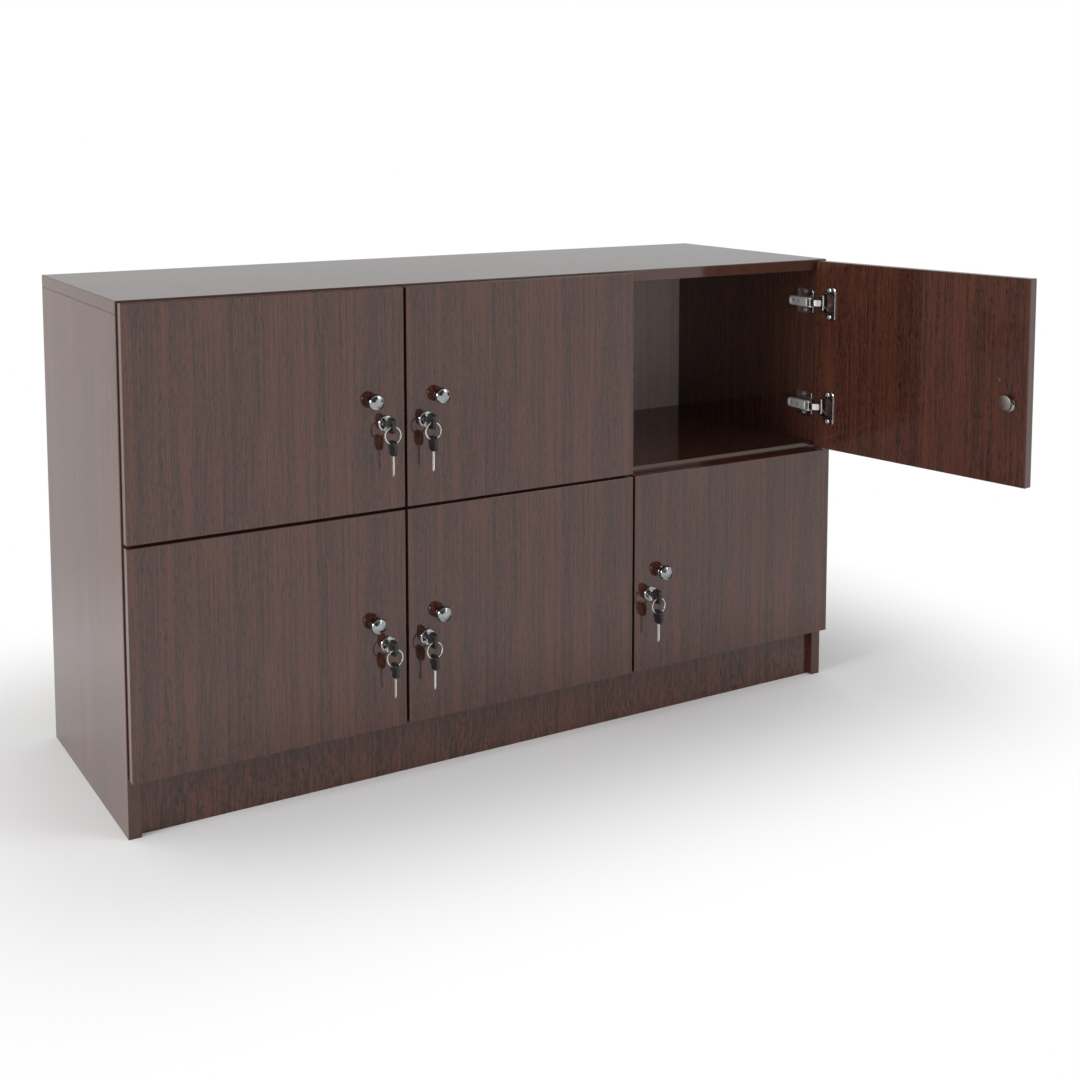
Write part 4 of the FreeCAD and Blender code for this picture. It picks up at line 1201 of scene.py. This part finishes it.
@dataclass(frozen=True)
class KeySet(DoorPart):
    """The key in the lock, the split ring through its bow and the spare key that hangs on it."""

    bow_front: float = 8.0
    bow_length: float = 22.0
    bow_width: float = 24.0
    bow_taper: float = 1.5
    bow_rounds: tuple[float, ...] = (9.5, 7, 7, 9.5)
    bow_half: float = 2.5
    bow_bevel: float = 0.8
    panel_shares: Pair = (0.87, 0.83)
    panel_depth: float = 0.5
    hole: float = 3.0
    hole_distance: float = 15.6
    hole_bevel: float = 0.3
    boss_steps: tuple[float, ...] = (1.6, 1.2, 0.3, 0.0)
    blade_length: float = 29.0
    blade_half: Pair = (2.1, 0.7)
    blade_steps: int = 72
    cut_places: tuple[float, ...] = (7.0, 11.0, 15.0, 19.0, 23.0)
    cut_depths: tuple[float, ...] = (0.6, 1.2, 0.4, 1.0, 0.7)
    cut_half: float = 0.6
    cut_slope: float = 0.9
    tip: float = 3.0
    tip_slope: float = 0.75
    groove: tuple[float, ...] = (0.9, 0.5, -0.5, -0.9)
    groove_depth: float = 0.4
    collar: Place = (4.2, 4.2, 2.0)
    collar_overlap: float = 1.0
    collar_bevel: float = 0.5
    ring: float = 12.0
    ring_drop: float = 13.25
    ring_distance: float = 23.6
    ring_gap: float = 0.3
    ring_start: float = math.radians(150)
    ring_steps: int = 145
    wire_half: Pair = (0.85, 0.46)
    wire_round: float = 0.4
    wire_steps: int = 16
    coil_offset: float = 0.5
    spare_level: float = -42.35

    def bow(self) -> np.ndarray:
        """Draw a key's bow: a plate with a round end, sunk panels and a hole with a boss.

        The panels' rims are the outline scaled about the hole's middle, and the boss has circles about it.

        Returns:
            A grid from the hole's lower rim, over the outside and back to its upper rim.
        """
        half, length, top = self.bow_width / 2, self.bow_length, self.bow_half
        narrow = half - self.bow_taper
        corners = [(0, -half), (length, -narrow), (length, narrow), (0, half)]
        loop = rounded_loop(corners, self.bow_rounds, 2 * ROUND_STEPS)
        centre = np.array([self.hole_distance, 0.0])
        rims, heights = bevelled_rows(loop, -top, top, self.bow_bevel)
        panels = [centre + share * (loop - centre) for share in self.panel_shares]
        turned = [seen_from(loop, centre, self.hole + step) for step in self.boss_steps]
        inner = [*panels, *turned]
        sunk = top - self.panel_depth
        levels = [top, sunk, sunk, top, top, top - self.hole_bevel]
        under = [-level for level in levels[::-1]]
        return layers([*inner[::-1], *rims, *inner], [*under, *heights, *levels])

    def collar_plate(self) -> np.ndarray:
        """Draw the collar that closes the gap from the inserted key's bow to the lock.

        Returns:
            A grid of the collar.
        """
        length, half, thick = self.collar
        outline = rounded_box((-length, -half), (self.collar_overlap, half), self.collar_overlap)
        return slab(outline, -thick, thick, self.collar_bevel)

    def blade(self) -> np.ndarray:
        """Draw a key's blade along its length: a bar with a milled groove, five cuts and a tapered tip.

        Each cut is a flat of its own depth whose flanks rise at a fixed slope, and the edge takes the
        deepest cut at each station.

        Returns:
            A grid with one row for each station and one for each end.
        """
        reach = np.linspace(0, self.blade_length, self.blade_steps)
        flank = np.maximum(np.abs(reach[:, None] - np.array(self.cut_places)) - self.cut_half, 0)
        cuts = np.clip(np.array(self.cut_depths) - self.cut_slope * flank, 0, None).max(axis=1)
        tip = np.clip(reach - (self.blade_length - self.tip), 0, None)
        edge, side = self.blade_half
        top = edge - cuts - self.tip_slope * tip
        low = -edge + self.tip_slope * tip
        groove = np.clip(np.array(self.groove)[None], low[:, None], top[:, None])
        across = np.concatenate([np.stack([low, top, top], axis=1), groove, low[:, None]], axis=1)
        floor = side - self.groove_depth
        up = np.broadcast_to([-side, -side, side, side, floor, floor, side, side], across.shape)
        body = np.stack([np.broadcast_to(-reach[:, None], across.shape), across, up], axis=-1)
        return capped(body, body[[0, -1]].mean(axis=1, keepdims=True))

    def split_ring(self) -> np.ndarray:
        """Draw the ring: a flat wire wound twice, stepping from one coil to the other beside its ends.

        The wire's middle is radius * (cos t, sin t) at a height of -offset, which rises smoothly to +offset
        where the first turn ends.

        Returns:
            A grid of the wire along both turns.
        """
        turn = np.linspace(self.ring_gap, 2 * FULL_TURN - self.ring_gap, self.ring_steps)
        flat = polar(turn + self.ring_start)
        outward = np.concatenate([flat, np.zeros_like(flat[:, :1])], axis=1)
        change = smooth_step(turn, FULL_TURN - self.ring_gap, FULL_TURN + self.ring_gap)
        offset = self.coil_offset * (2 * change - 1)
        axis = np.broadcast_to(UP, outward.shape)
        wide, tall = self.wire_half
        section = rounded_box((-wide, -tall), (wide, tall), self.wire_round, self.wire_steps)
        return carried(section, self.ring * outward + offset[:, None] * axis, outward, axis)

    def build(self) -> None:
        """Make the inserted key, the ring and the spare key."""
        axis = self.door.lock_axis
        inserted = Axes(axis.moved(0, 0, -self.bow_front).origin, -axis.h, axis.b, axis.a)
        hung = axis.moved(0, self.spare_level, -self.ring_distance)
        spare = Axes(hung.origin, axis.b, axis.h, axis.a)
        head = Skin().add(inserted, self.bow(), ring=True).add(inserted, self.collar_plate())
        self.fit("key_bow", head, Hardware.PLASTIC, Body.LOCK, Slot.PLASTIC, "key")
        self.fit("key_blade", Skin().add(inserted, self.blade()), Hardware.BLADE, Body.LOCK, Slot.STEEL)
        wire = Skin().add(axis.moved(0, -self.ring_drop, -self.ring_distance), self.split_ring())
        self.fit("split_ring", wire, Hardware.NICKEL, Body.RING, Slot.CHROME, "key_ring")
        spare_head = Skin().add(spare, self.bow(), ring=True)
        self.fit("spare_bow", spare_head, Hardware.PLASTIC, Body.RING, Slot.PLASTIC)
        self.fit("spare_blade", Skin().add(spare, self.blade()), Hardware.BLADE, Body.RING, Slot.STEEL)


@dataclass(frozen=True)
class HingePair(DoorPart):
    """The two concealed hinges of a door: cups with flanges, gooseneck levers and their pins."""

    cup_centre: float = 22.5
    cup: float = 17.5
    cup_inner: float = 16.2
    cup_bottom: float = 4.7
    cup_floor: float = 5.7
    bottom_round: tuple[Pair, ...] = ((0.6, 0), (0.1, 0.5))
    rim_roll: tuple[Pair, ...] = ((0.6, 0), (0.8, 0.4), (0.5, 0.8))
    inner_roll: tuple[Pair, ...] = ((0.5, 0.8), (0, 0.3))
    floor_round: tuple[Pair, ...] = ((0, 1.2), (0.4, 0.3), (1.2, 0))
    flange_near: float = 20.0
    flange_far: float = 41.0
    flange_half: float = 27.5
    flange_thickness: float = 1.2
    flange_round: float = 6.0
    flange_bevel: float = 0.25
    flange_shares: tuple[float, ...] = (0.0, 1.0, 1.0, 0.96, 0.04, 0.0)
    flange_steps: int = 60
    bend_steps: int = 8
    lip_width: float = 2.0
    lip_half: float = 21.5
    lip_base: float = 0.6
    lip_rise: float = 2.2
    lip_round: float = 0.9
    lip_bevel: float = 0.45
    screw_inset: float = 28.5
    screw_half: float = 22.5
    screw: ScrewHead = ScrewHead(3.6, 1.5)
    cup_pin: Pair = (11.82, 12.32)
    pin: float = 1.5
    pin_half: float = 12.5
    lever_rise: float = 6.5
    lever_thickness: float = 2.4
    lever_half: float = 5.5
    lever_round: float = 0.6
    lever_steps: int = 28
    eye_rim: float = 2.6
    eye_gap: float = 0.05
    eye_bevel: float = 0.3

    def bowl(self) -> np.ndarray:
        """Draw the pressed bowl from under its floor, up its wall, over a rolled rim and down inside.

        Returns:
            A grid of the bowl.
        """
        face, bottom, floor = DOOR_THICKNESS, self.cup_bottom, self.cup_floor
        return lathe([
            (0, bottom),
            *((self.cup - step, bottom + up) for step, up in self.bottom_round),
            (self.cup - self.bottom_round[-1][0], face),
            *((self.cup + step, face + up) for step, up in self.rim_roll),
            *((self.cup_inner + step, face + up) for step, up in self.inner_roll),
            *((self.cup_inner - step, floor + up) for step, up in self.floor_round),
            (0, floor),
        ])

    def flange(self) -> np.ndarray:
        """Draw the flange as a strip round the bowl, from an inner arc to a rounded outline.

        Each row goes from the arc to the outline by the flange's shares: under it, up its bevelled rim and
        back on top.

        Returns:
            A grid with one row for each step round the bowl and one for each end.
        """
        reach = math.acos((self.flange_near - self.cup_centre) / self.cup)
        arc = self.cup * polar(np.linspace(-reach, reach, self.flange_steps))
        inner = np.array([self.cup_centre, 0]) + arc
        bend = np.linspace(0, QUARTER_TURN, self.bend_steps)
        run, rise = self.flange_round * (1 - np.cos(bend)), self.flange_round * (1 - np.sin(bend))
        lower = np.concatenate([
            np.stack([self.flange_near + run, rise - self.flange_half], axis=-1),
            np.stack([self.flange_far - rise, run - self.flange_half], axis=-1),
        ])
        outline = np.concatenate([lower, lower[::-1] * np.array([1, -1])])
        outer = even_steps(outline, self.flange_steps, closed=False)
        shares = np.array(self.flange_shares)
        top = DOOR_THICKNESS + self.flange_thickness
        rim = top - self.flange_bevel
        levels = np.array([DOOR_THICKNESS, DOOR_THICKNESS, rim, top, top, rim])
        flat = inner[:, None] + shares[None, :, None] * (outer - inner)[:, None]
        level = np.broadcast_to(levels[None, :, None], (*flat.shape[:2], 1))
        body = np.concatenate([flat, level], axis=-1)
        return capped(body, body[[0, -1]].mean(axis=1, keepdims=True))

    def lip(self) -> np.ndarray:
        """Draw the folded lip along the flange's far edge as a rounded bar.

        Returns:
            A grid of the lip.
        """
        low = (self.flange_far - self.lip_width, -self.lip_half)
        loop = rounded_box(low, (self.flange_far, self.lip_half), self.lip_round)
        return slab(loop, DOOR_THICKNESS + self.lip_base, DOOR_THICKNESS + self.lip_rise, self.lip_bevel)

    def gooseneck(self) -> np.ndarray:
        """Draw the lever's neck: a rounded strip carried along the arc through both pins.

        The arc's radius is (c^2 / 4 + s^2) / (2 s) for a chord c and a rise s.

        Returns:
            A grid of the neck along the arc.
        """
        cup, arm = np.array(self.cup_pin), np.array(ARM_PIN)
        chord = arm - cup
        length = float(np.linalg.norm(chord))
        radius = (length ** 2 / 4 + self.lever_rise ** 2) / (2 * self.lever_rise)
        bulge = np.array([chord[1], -chord[0]]) / length
        centre = (cup + arm) / 2 + bulge * (self.lever_rise - radius)
        start, end = (math.atan2(*(point - centre)[::-1]) for point in (cup, arm))
        flat = polar(np.linspace(start, end + FULL_TURN * (end < start), self.lever_steps))
        outward = np.concatenate([flat, np.zeros_like(flat[:, :1])], axis=1)
        path = radius * outward
        path[:, :2] += centre
        thick, wide = self.lever_thickness / 2, self.lever_half
        section = rounded_box((-thick, -wide), (thick, wide), self.lever_round, self.lever_steps)
        return carried(section, path, outward, np.broadcast_to(UP, path.shape))

    def eye(self) -> np.ndarray:
        """Draw the rolled eye at an end of the lever, a tube round its pin.

        Returns:
            A grid of the tube, from its bore round its outside.
        """
        bore, rim, half, bevel = self.pin + self.eye_gap, self.eye_rim, self.lever_half, self.eye_bevel
        outside = [(rim - bevel, -half), (rim, bevel - half), (rim, half - bevel), (rim - bevel, half)]
        return lathe([(bore, -half), *outside, (bore, half)], self.lever_steps)

    def build(self) -> None:
        """Make both hinges, as far as they are on the door."""
        door = self.door
        bowls, flanges, screws, pins, necks = (Skin() for _ in range(5))
        top = DOOR_THICKNESS + self.flange_thickness
        for level in door.hinge_levels:
            leaf = door.leaf.moved(0, level, 0)
            bowls.add(leaf.moved(self.cup_centre, 0, 0), self.bowl())
            flanges.add(leaf, self.flange()).add(leaf, self.lip())
            for side in SIDES:
                screws.add(leaf.moved(self.screw_inset, side * self.screw_half, 0), self.screw.grid(top))
            cup_axis = leaf.moved(self.cup_pin[0], 0, self.cup_pin[1]).upended()
            pins.add(cup_axis, pin_rod(self.pin, self.pin_half))
            closed = door.closed.moved(0, level, 0)
            pivot = closed.moved(ARM_PIN[0], 0, ARM_PIN[1]).upended().turned(door.lever_turn)
            lever = pivot.moved(-ARM_PIN[0], -ARM_PIN[1], 0)
            necks.add(lever, self.gooseneck())
            for at in (self.cup_pin, ARM_PIN):
                necks.add(lever.moved(*at, 0), self.eye(), ring=True)
        # The bowls take the darkened cup finish: painted shade and a painted reflection of the door
        self.fit("hinge_bowls", bowls, Hardware.DUSK, Body.LEAF, Slot.STEEL, "hinge_cups")
        self.fit("hinge_flanges", flanges, Hardware.NICKEL, Body.LEAF, Slot.STEEL)
        self.fit("flange_screws", screws, Hardware.ZINC, Body.LEAF, Slot.STEEL)
        self.fit("cup_pins", pins, Hardware.ZINC, Body.LEAF, Slot.STEEL)
        self.fit("goosenecks", necks, Hardware.NICKEL, Body.LEVERS, Slot.STEEL, "hinge_levers")


@dataclass(frozen=True)
class Plate:
    """A plate with rounded corners: its depths, half its height and the radii of its corners and rims."""

    near: float
    far: float
    half: float
    corner: float
    bevel: float

    def grid(self, low: float, high: float) -> np.ndarray:
        """Draw the plate between two heights."""
        loop = rounded_box((self.near, -self.half), (self.far, self.half), self.corner)
        return slab(loop, low, high, self.bevel)


@dataclass(frozen=True)
class HingeMounts:
    """The fixed halves of all hinges: arms with pins and adjusters, and mounting plates with screws."""

    doors: Sequence[Door]
    materials: Materials
    arm_low: float = 27.7
    arm_high: float = 35.7
    arm_half: float = 8.0
    step: float = 0.9
    hood: Plate = Plate(23.82, 35.0, 8.0, 1.3, 1.2)
    rear: Plate = Plate(34.0, 68.0, 7.6, 2.5, 0.8)
    hook: Plate = Plate(64.0, 68.0, 5.0, 0.8, 0.5)
    cheek_inner: float = 5.8
    cheek_back: float = 25.82
    cheek_rise: float = 2.2
    cheek_bevel: float = 0.4
    tip: float = 3.0
    tip_steps: int = 14
    pin: float = 1.5
    adjusters: Pair = (44.0, 58.0)
    adjuster: ScrewHead = ScrewHead(3.2, 0.8)
    wings: Plate = Plate(26.0, 66.0, 22.0, 6.0, 0.9)
    wing_thickness: float = 2.5
    block: Plate = Plate(32.0, 63.5, 6.0, 1.0, 0.4)
    block_sunk: float = 0.5
    screw_depth: float = 45.0
    screw_half: float = 16.0
    screw: ScrewHead = ScrewHead(3.6, 1.5)

    def cheek(self, side: int) -> np.ndarray:
        """Draw one cheek of the arm's fork: a plate whose end is an arc about the arm's pin.

        Args:
            side: Side of the arm, -1 or 1.

        Returns:
            A grid of the cheek.
        """
        arc = np.array(ARM_PIN) + self.tip * polar(np.linspace(-math.pi, 0, self.tip_steps))
        straight = [(self.arm_high, self.cheek_back), (self.arm_low, self.cheek_back),
                    (self.arm_low, ARM_PIN[1] + self.cheek_rise)]
        outline = even_steps(np.concatenate([straight, arc]), ROUND_STEPS)
        low, high = sorted((side * self.cheek_inner, side * self.arm_half))
        return slab(outline, low, high, self.cheek_bevel)

    def build(self) -> None:
        """Make the arms and plates of every door."""
        arms, pins, adjusters, plates, screws = (Skin() for _ in range(5))
        rear_high = self.arm_high - self.step
        tops = ((self.hood, self.arm_high), (self.rear, rear_high), (self.hook, self.arm_high))
        channel = [plate.grid(self.arm_low, high) for plate, high in tops]
        for door in self.doors:
            top = door.overlay + self.wing_thickness
            wings = self.wings.grid(door.overlay, top)
            block = self.block.grid(top - self.block_sunk, self.arm_low)
            for level in door.hinge_levels:
                seat = door.closed.moved(0, level, 0)
                side_on = seat.sidelong()
                for grid in channel:
                    arms.add(side_on, grid)
                for side in SIDES:
                    arms.add(seat.upended(), self.cheek(side))
                    at = side_on.moved(self.screw_depth, side * self.screw_half, 0)
                    screws.add(at, self.screw.grid(top))
                pins.add(seat.moved(ARM_PIN[0], 0, ARM_PIN[1]).upended(), pin_rod(self.pin, self.arm_half))
                for depth in self.adjusters:
                    adjusters.add(side_on.moved(depth, 0, 0), self.adjuster.grid(rear_high))
                plates.add(side_on, wings).add(side_on, block)
        for name, skin, finish, *nodes in (
            ("hinge_arm_channels", arms, Hardware.SATIN, "hinge_arms"),
            ("hinge_arm_pins", pins, Hardware.ZINC),
            ("hinge_adjusters", adjusters, Hardware.ZINC),
            ("hinge_plate_wings", plates, Hardware.NICKEL, "hinge_mounting_plates"),
            ("hinge_plate_screws", screws, Hardware.ZINC),
        ):
            piece(name, skin, self.materials[finish], "case", Slot.STEEL, *nodes)


@dataclass(frozen=True)
class Boards:
    """The boards of the case and the doors, which keep their solids and get their laminate.

    The unbanded half size lies far outside every board, so no edge band shows along its axis.
    """

    rear: float
    unbanded: float = 9.0
    upright: tuple[str, ...] = ("left_side_panel", "right_side_panel", "left_divider", "right_divider")
    lengthwise: tuple[str, ...] = ("top_panel", "bottom_panel", "shelves")

    def place(self, node: str, grain: Grain) -> BoardPlace:
        """Find a board's middle, grain turn and half sizes from its box, with its faces kept off the bands.

        Args:
            node: Name of the board.
            grain: Direction of its grain.

        Returns:
            Where the board lies.
        """
        low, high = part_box(node)
        half = (high - low) / 2
        middle = tuple((low + high) / 2)
        if grain is Grain.LENGTHWISE:
            return BoardPlace(middle, (0.0, QUARTER_TURN, 0.0), (self.unbanded, half.y, half.x))
        return BoardPlace(middle, (0.0, 0.0, 0.0), (self.unbanded, half.y, half.z))

    def dress(self, doors: Sequence[Door], effects: Effects) -> None:
        """Give every board and door its laminate.

        Args:
            doors: The doors as they hang.
            effects: Shared effects.
        """
        plain = Laminate()
        for grain, names in ((Grain.UPRIGHT, self.upright), (Grain.LENGTHWISE, self.lengthwise)):
            for name in names:
                cover(name, plain.material(f"{name}_laminate", self.place(name, grain), self.rear, effects))
        no_bands = (self.unbanded, self.unbanded, self.unbanded)
        place = replace(self.place("plinth_board", Grain.UPRIGHT), half=no_bands)
        cover("plinth_board", PLINTH_LAMINATE.material("plinth_laminate", place, self.rear, effects))
        place = replace(self.place("back_panel", Grain.UPRIGHT), half=no_bands)
        cover("back_panel", BACK_LAMINATE.material("back_laminate", place, place.middle[1], effects))
        for door in doors:
            middle = door.leaf.place(np.array([door.width / 2, door.height / 2, DOOR_THICKNESS / 2]))
            opened = math.atan2(-door.leaf.h[0], door.leaf.h[1])
            half = (MM * door.width / 2, self.unbanded, MM * door.height / 2)
            place = BoardPlace(tuple(middle), (0.0, 0.0, opened), half)
            name = f"{door.name}_door"
            cover(name, plain.material(f"{name}_laminate", place, self.rear, effects))


# Studio


@dataclass(frozen=True)
class Lamp:
    """A square soft lamp that the camera doesn't see."""

    name: str
    at: Place
    target: Place
    size: float
    power: float

    def turn(self) -> Place:
        """Return the turn that points the lamp's -Z from its place to its target."""
        way = np.array(self.target) - np.array(self.at)
        return (math.atan2(math.hypot(way[0], way[1]), -way[2]), 0.0, math.atan2(-way[0], way[1]))

    def build(self) -> None:
        """Add the lamp to the scene."""
        data = bpy.data.lights.new(self.name, "AREA")
        data.shape = "SQUARE"
        data.size = self.size
        data.energy = self.power
        thing = placed(self.name, data)
        thing.location = self.at
        thing.visible_camera = False
        thing.rotation_euler = self.turn()


@dataclass(frozen=True)
class Studio:
    """A pale floor, a white room, three soft lamps and the camera."""

    camera_at: Place = (-1.1216, -1.9451, 0.9428)
    pitch: float = 5.443
    yaw: float = 31.004
    lens: float = 50.29
    sensor: float = 36.0
    shift: float = -0.25
    floor_half: float = 40.0
    floor_colour: Colour = (0.95, 0.95, 0.95)
    foot_middle: Place = (0.0, 0.181, 0.0)
    foot_half: Place = (0.6, 0.2, 0.0)
    clear: Pair = (0.04, 0.55)
    rear_floor: float = 0.72
    rear_floor_depths: Pair = (0.3, 1.5)
    sky_diffuse: float = 0.55
    rear_level: float = 0.57
    rear_range: Pair = (-0.2, 0.4)
    zenith: float = 0.10
    zenith_range: Pair = (0.2, 0.5)
    card_level: float = 0.08
    card_range: Pair = (0.72, 0.92)
    card_lift: float = 0.1
    lamps: tuple[Lamp, ...] = (
        Lamp("key_lamp", (2.4, -2.6, 2.6), (0.1, 0.0, 0.35), 1.8, 34.0),
        Lamp("fill_lamp", (-3.4, -0.55, 1.2), (0.5, -0.2, 0.5), 1.0, 58.0),
        Lamp("side_lamp", (-2.3, 1.6, 1.3), (-0.6, 0.15, 0.4), 2.0, 11.0),
    )

    def build(self) -> None:
        """Set up the floor, the room, the lamps and the camera."""
        self.floor()
        self.room()
        for lamp in self.lamps:
            lamp.build()
        self.camera()
        bpy.context.scene.view_settings.view_transform = "Standard"

    @staticmethod
    def seen_directly(nodes: Tree) -> Socket:
        """Pick out the rays that show the background itself.

        Args:
            nodes: Nodes of the material or world.

        Returns:
            1 for camera, glossy and transmission rays, and 0 for the others.
        """
        path = nodes.node("LightPath").outputs
        either = nodes.math("MAXIMUM", path["Is Camera Ray"], path["Is Glossy Ray"])
        return nodes.math("MAXIMUM", either, path["Is Transmission Ray"])

    def floor(self) -> None:
        """Make the floor, pale and shaded near the cabinet and plain white far from it.

        Its distance from the cabinet is the length of max(|p - middle| - half, 0). Reflections show it a
        little greyer behind the cabinet.
        """
        half = self.floor_half
        mesh = bpy.data.meshes.new("floor")
        corners = [(-half, -half, 0.0), (half, -half, 0.0), (half, half, 0.0), (-half, half, 0.0)]
        mesh.from_pydata(corners, [], [(0, 1, 2, 3)])
        placed("floor", mesh)
        material = bpy.data.materials.new("floor_paper")
        nodes = Tree.cleared(material)
        place = nodes.node("TexCoord").outputs["Object"]
        aside = nodes.vector("ABSOLUTE", nodes.vector("SUBTRACT", place, self.foot_middle))
        beyond = nodes.vector("MAXIMUM", nodes.vector("SUBTRACT", aside, self.foot_half), (0.0, 0.0, 0.0))
        far = nodes.rise(nodes.length("LENGTH", beyond), *self.clear)
        share = nodes.math("MULTIPLY", far, self.seen_directly(nodes))
        paper = nodes.node("BsdfDiffuse", {"Color": rgba(self.floor_colour)})
        rear = nodes.rise(nodes.parts(place)[1], *self.rear_floor_depths, 0.0, 1 - self.rear_floor)
        dimmed = nodes.math("MULTIPLY", nodes.node("LightPath").outputs["Is Glossy Ray"], rear)
        level = nodes.math("SUBTRACT", 1.0, dimmed)
        white = nodes.node("Emission", {"Color": rgba(WHITE), "Strength": level})
        surface = nodes.node("MixShader", {0: share, 1: paper.outputs[0], 2: white.outputs[0]})
        nodes.node("OutputMaterial", {"Surface": surface.outputs[0]})
        mesh.materials.append(material)

    def room(self) -> None:
        """Make a white room with a plain level for diffuse light.

        In reflections it is greyer at the rear and overhead, and a dark card stands behind the camera.
        """
        world = bpy.data.worlds.new("white_room")
        bpy.context.scene.world = world
        nodes = Tree.cleared(world)
        direction = nodes.node("TexCoord").outputs["Generated"]
        parts = nodes.parts(direction)
        rear = nodes.rise(parts[1], *self.rear_range, 1.0, self.rear_level)
        overhead = nodes.rise(parts[2], *self.zenith_range, 1.0, self.zenith)
        turn = math.radians(self.yaw)
        back = (-math.sin(turn), -math.cos(turn), self.card_lift)
        facing = nodes.length("DOT_PRODUCT", direction, back)
        card = nodes.rise(facing, *self.card_range, 1.0, self.card_level)
        mirrored = nodes.math("MULTIPLY", nodes.math("MULTIPLY", rear, overhead), card)
        glossy = nodes.node("LightPath").outputs["Is Glossy Ray"]
        dimmed = nodes.math("MULTIPLY", glossy, nodes.math("SUBTRACT", 1.0, mirrored))
        shown = {"Color": rgba(WHITE), "Strength": nodes.math("SUBTRACT", 1.0, dimmed)}
        plain = {"Color": rgba(WHITE), "Strength": self.sky_diffuse}
        seen, lit = (nodes.node("Background", values).outputs[0] for values in (shown, plain))
        surface = nodes.node("MixShader", {0: self.seen_directly(nodes), 1: lit, 2: seen})
        nodes.node("OutputWorld", {"Surface": surface.outputs[0]})

    def camera(self) -> None:
        """Set the camera at the photograph's viewing angle."""
        data = bpy.data.cameras.new("camera")
        data.lens = self.lens
        data.sensor_width = self.sensor
        data.shift_y = self.shift
        thing = placed("camera", data)
        thing.location = self.camera_at
        thing.rotation_euler = (math.radians(90 - self.pitch), 0.0, -math.radians(self.yaw))
        bpy.context.scene.camera = thing


def main() -> None:
    """Dress the boards, make the hardware of every door, and set up the studio."""
    logging.basicConfig(level=logging.INFO, format="%(message)s")
    effects = Effects.build()
    materials = {finish: finish.value.material(effects) for finish in Hardware}
    doors = [Door.hung(row, *column) for row in ROWS for column in COLUMNS]
    Boards(rear=CAD_BOX[1].y).dress(doors, effects)
    for door in doors:
        for part in (Knob, CamLock, KeySet, HingePair):
            part(door, materials).build()
    HingeMounts(doors, materials).build()
    cover("lock_strikes", materials[Hardware.BRONZE])
    Studio().build()


if __name__ == "__main__":
    main()
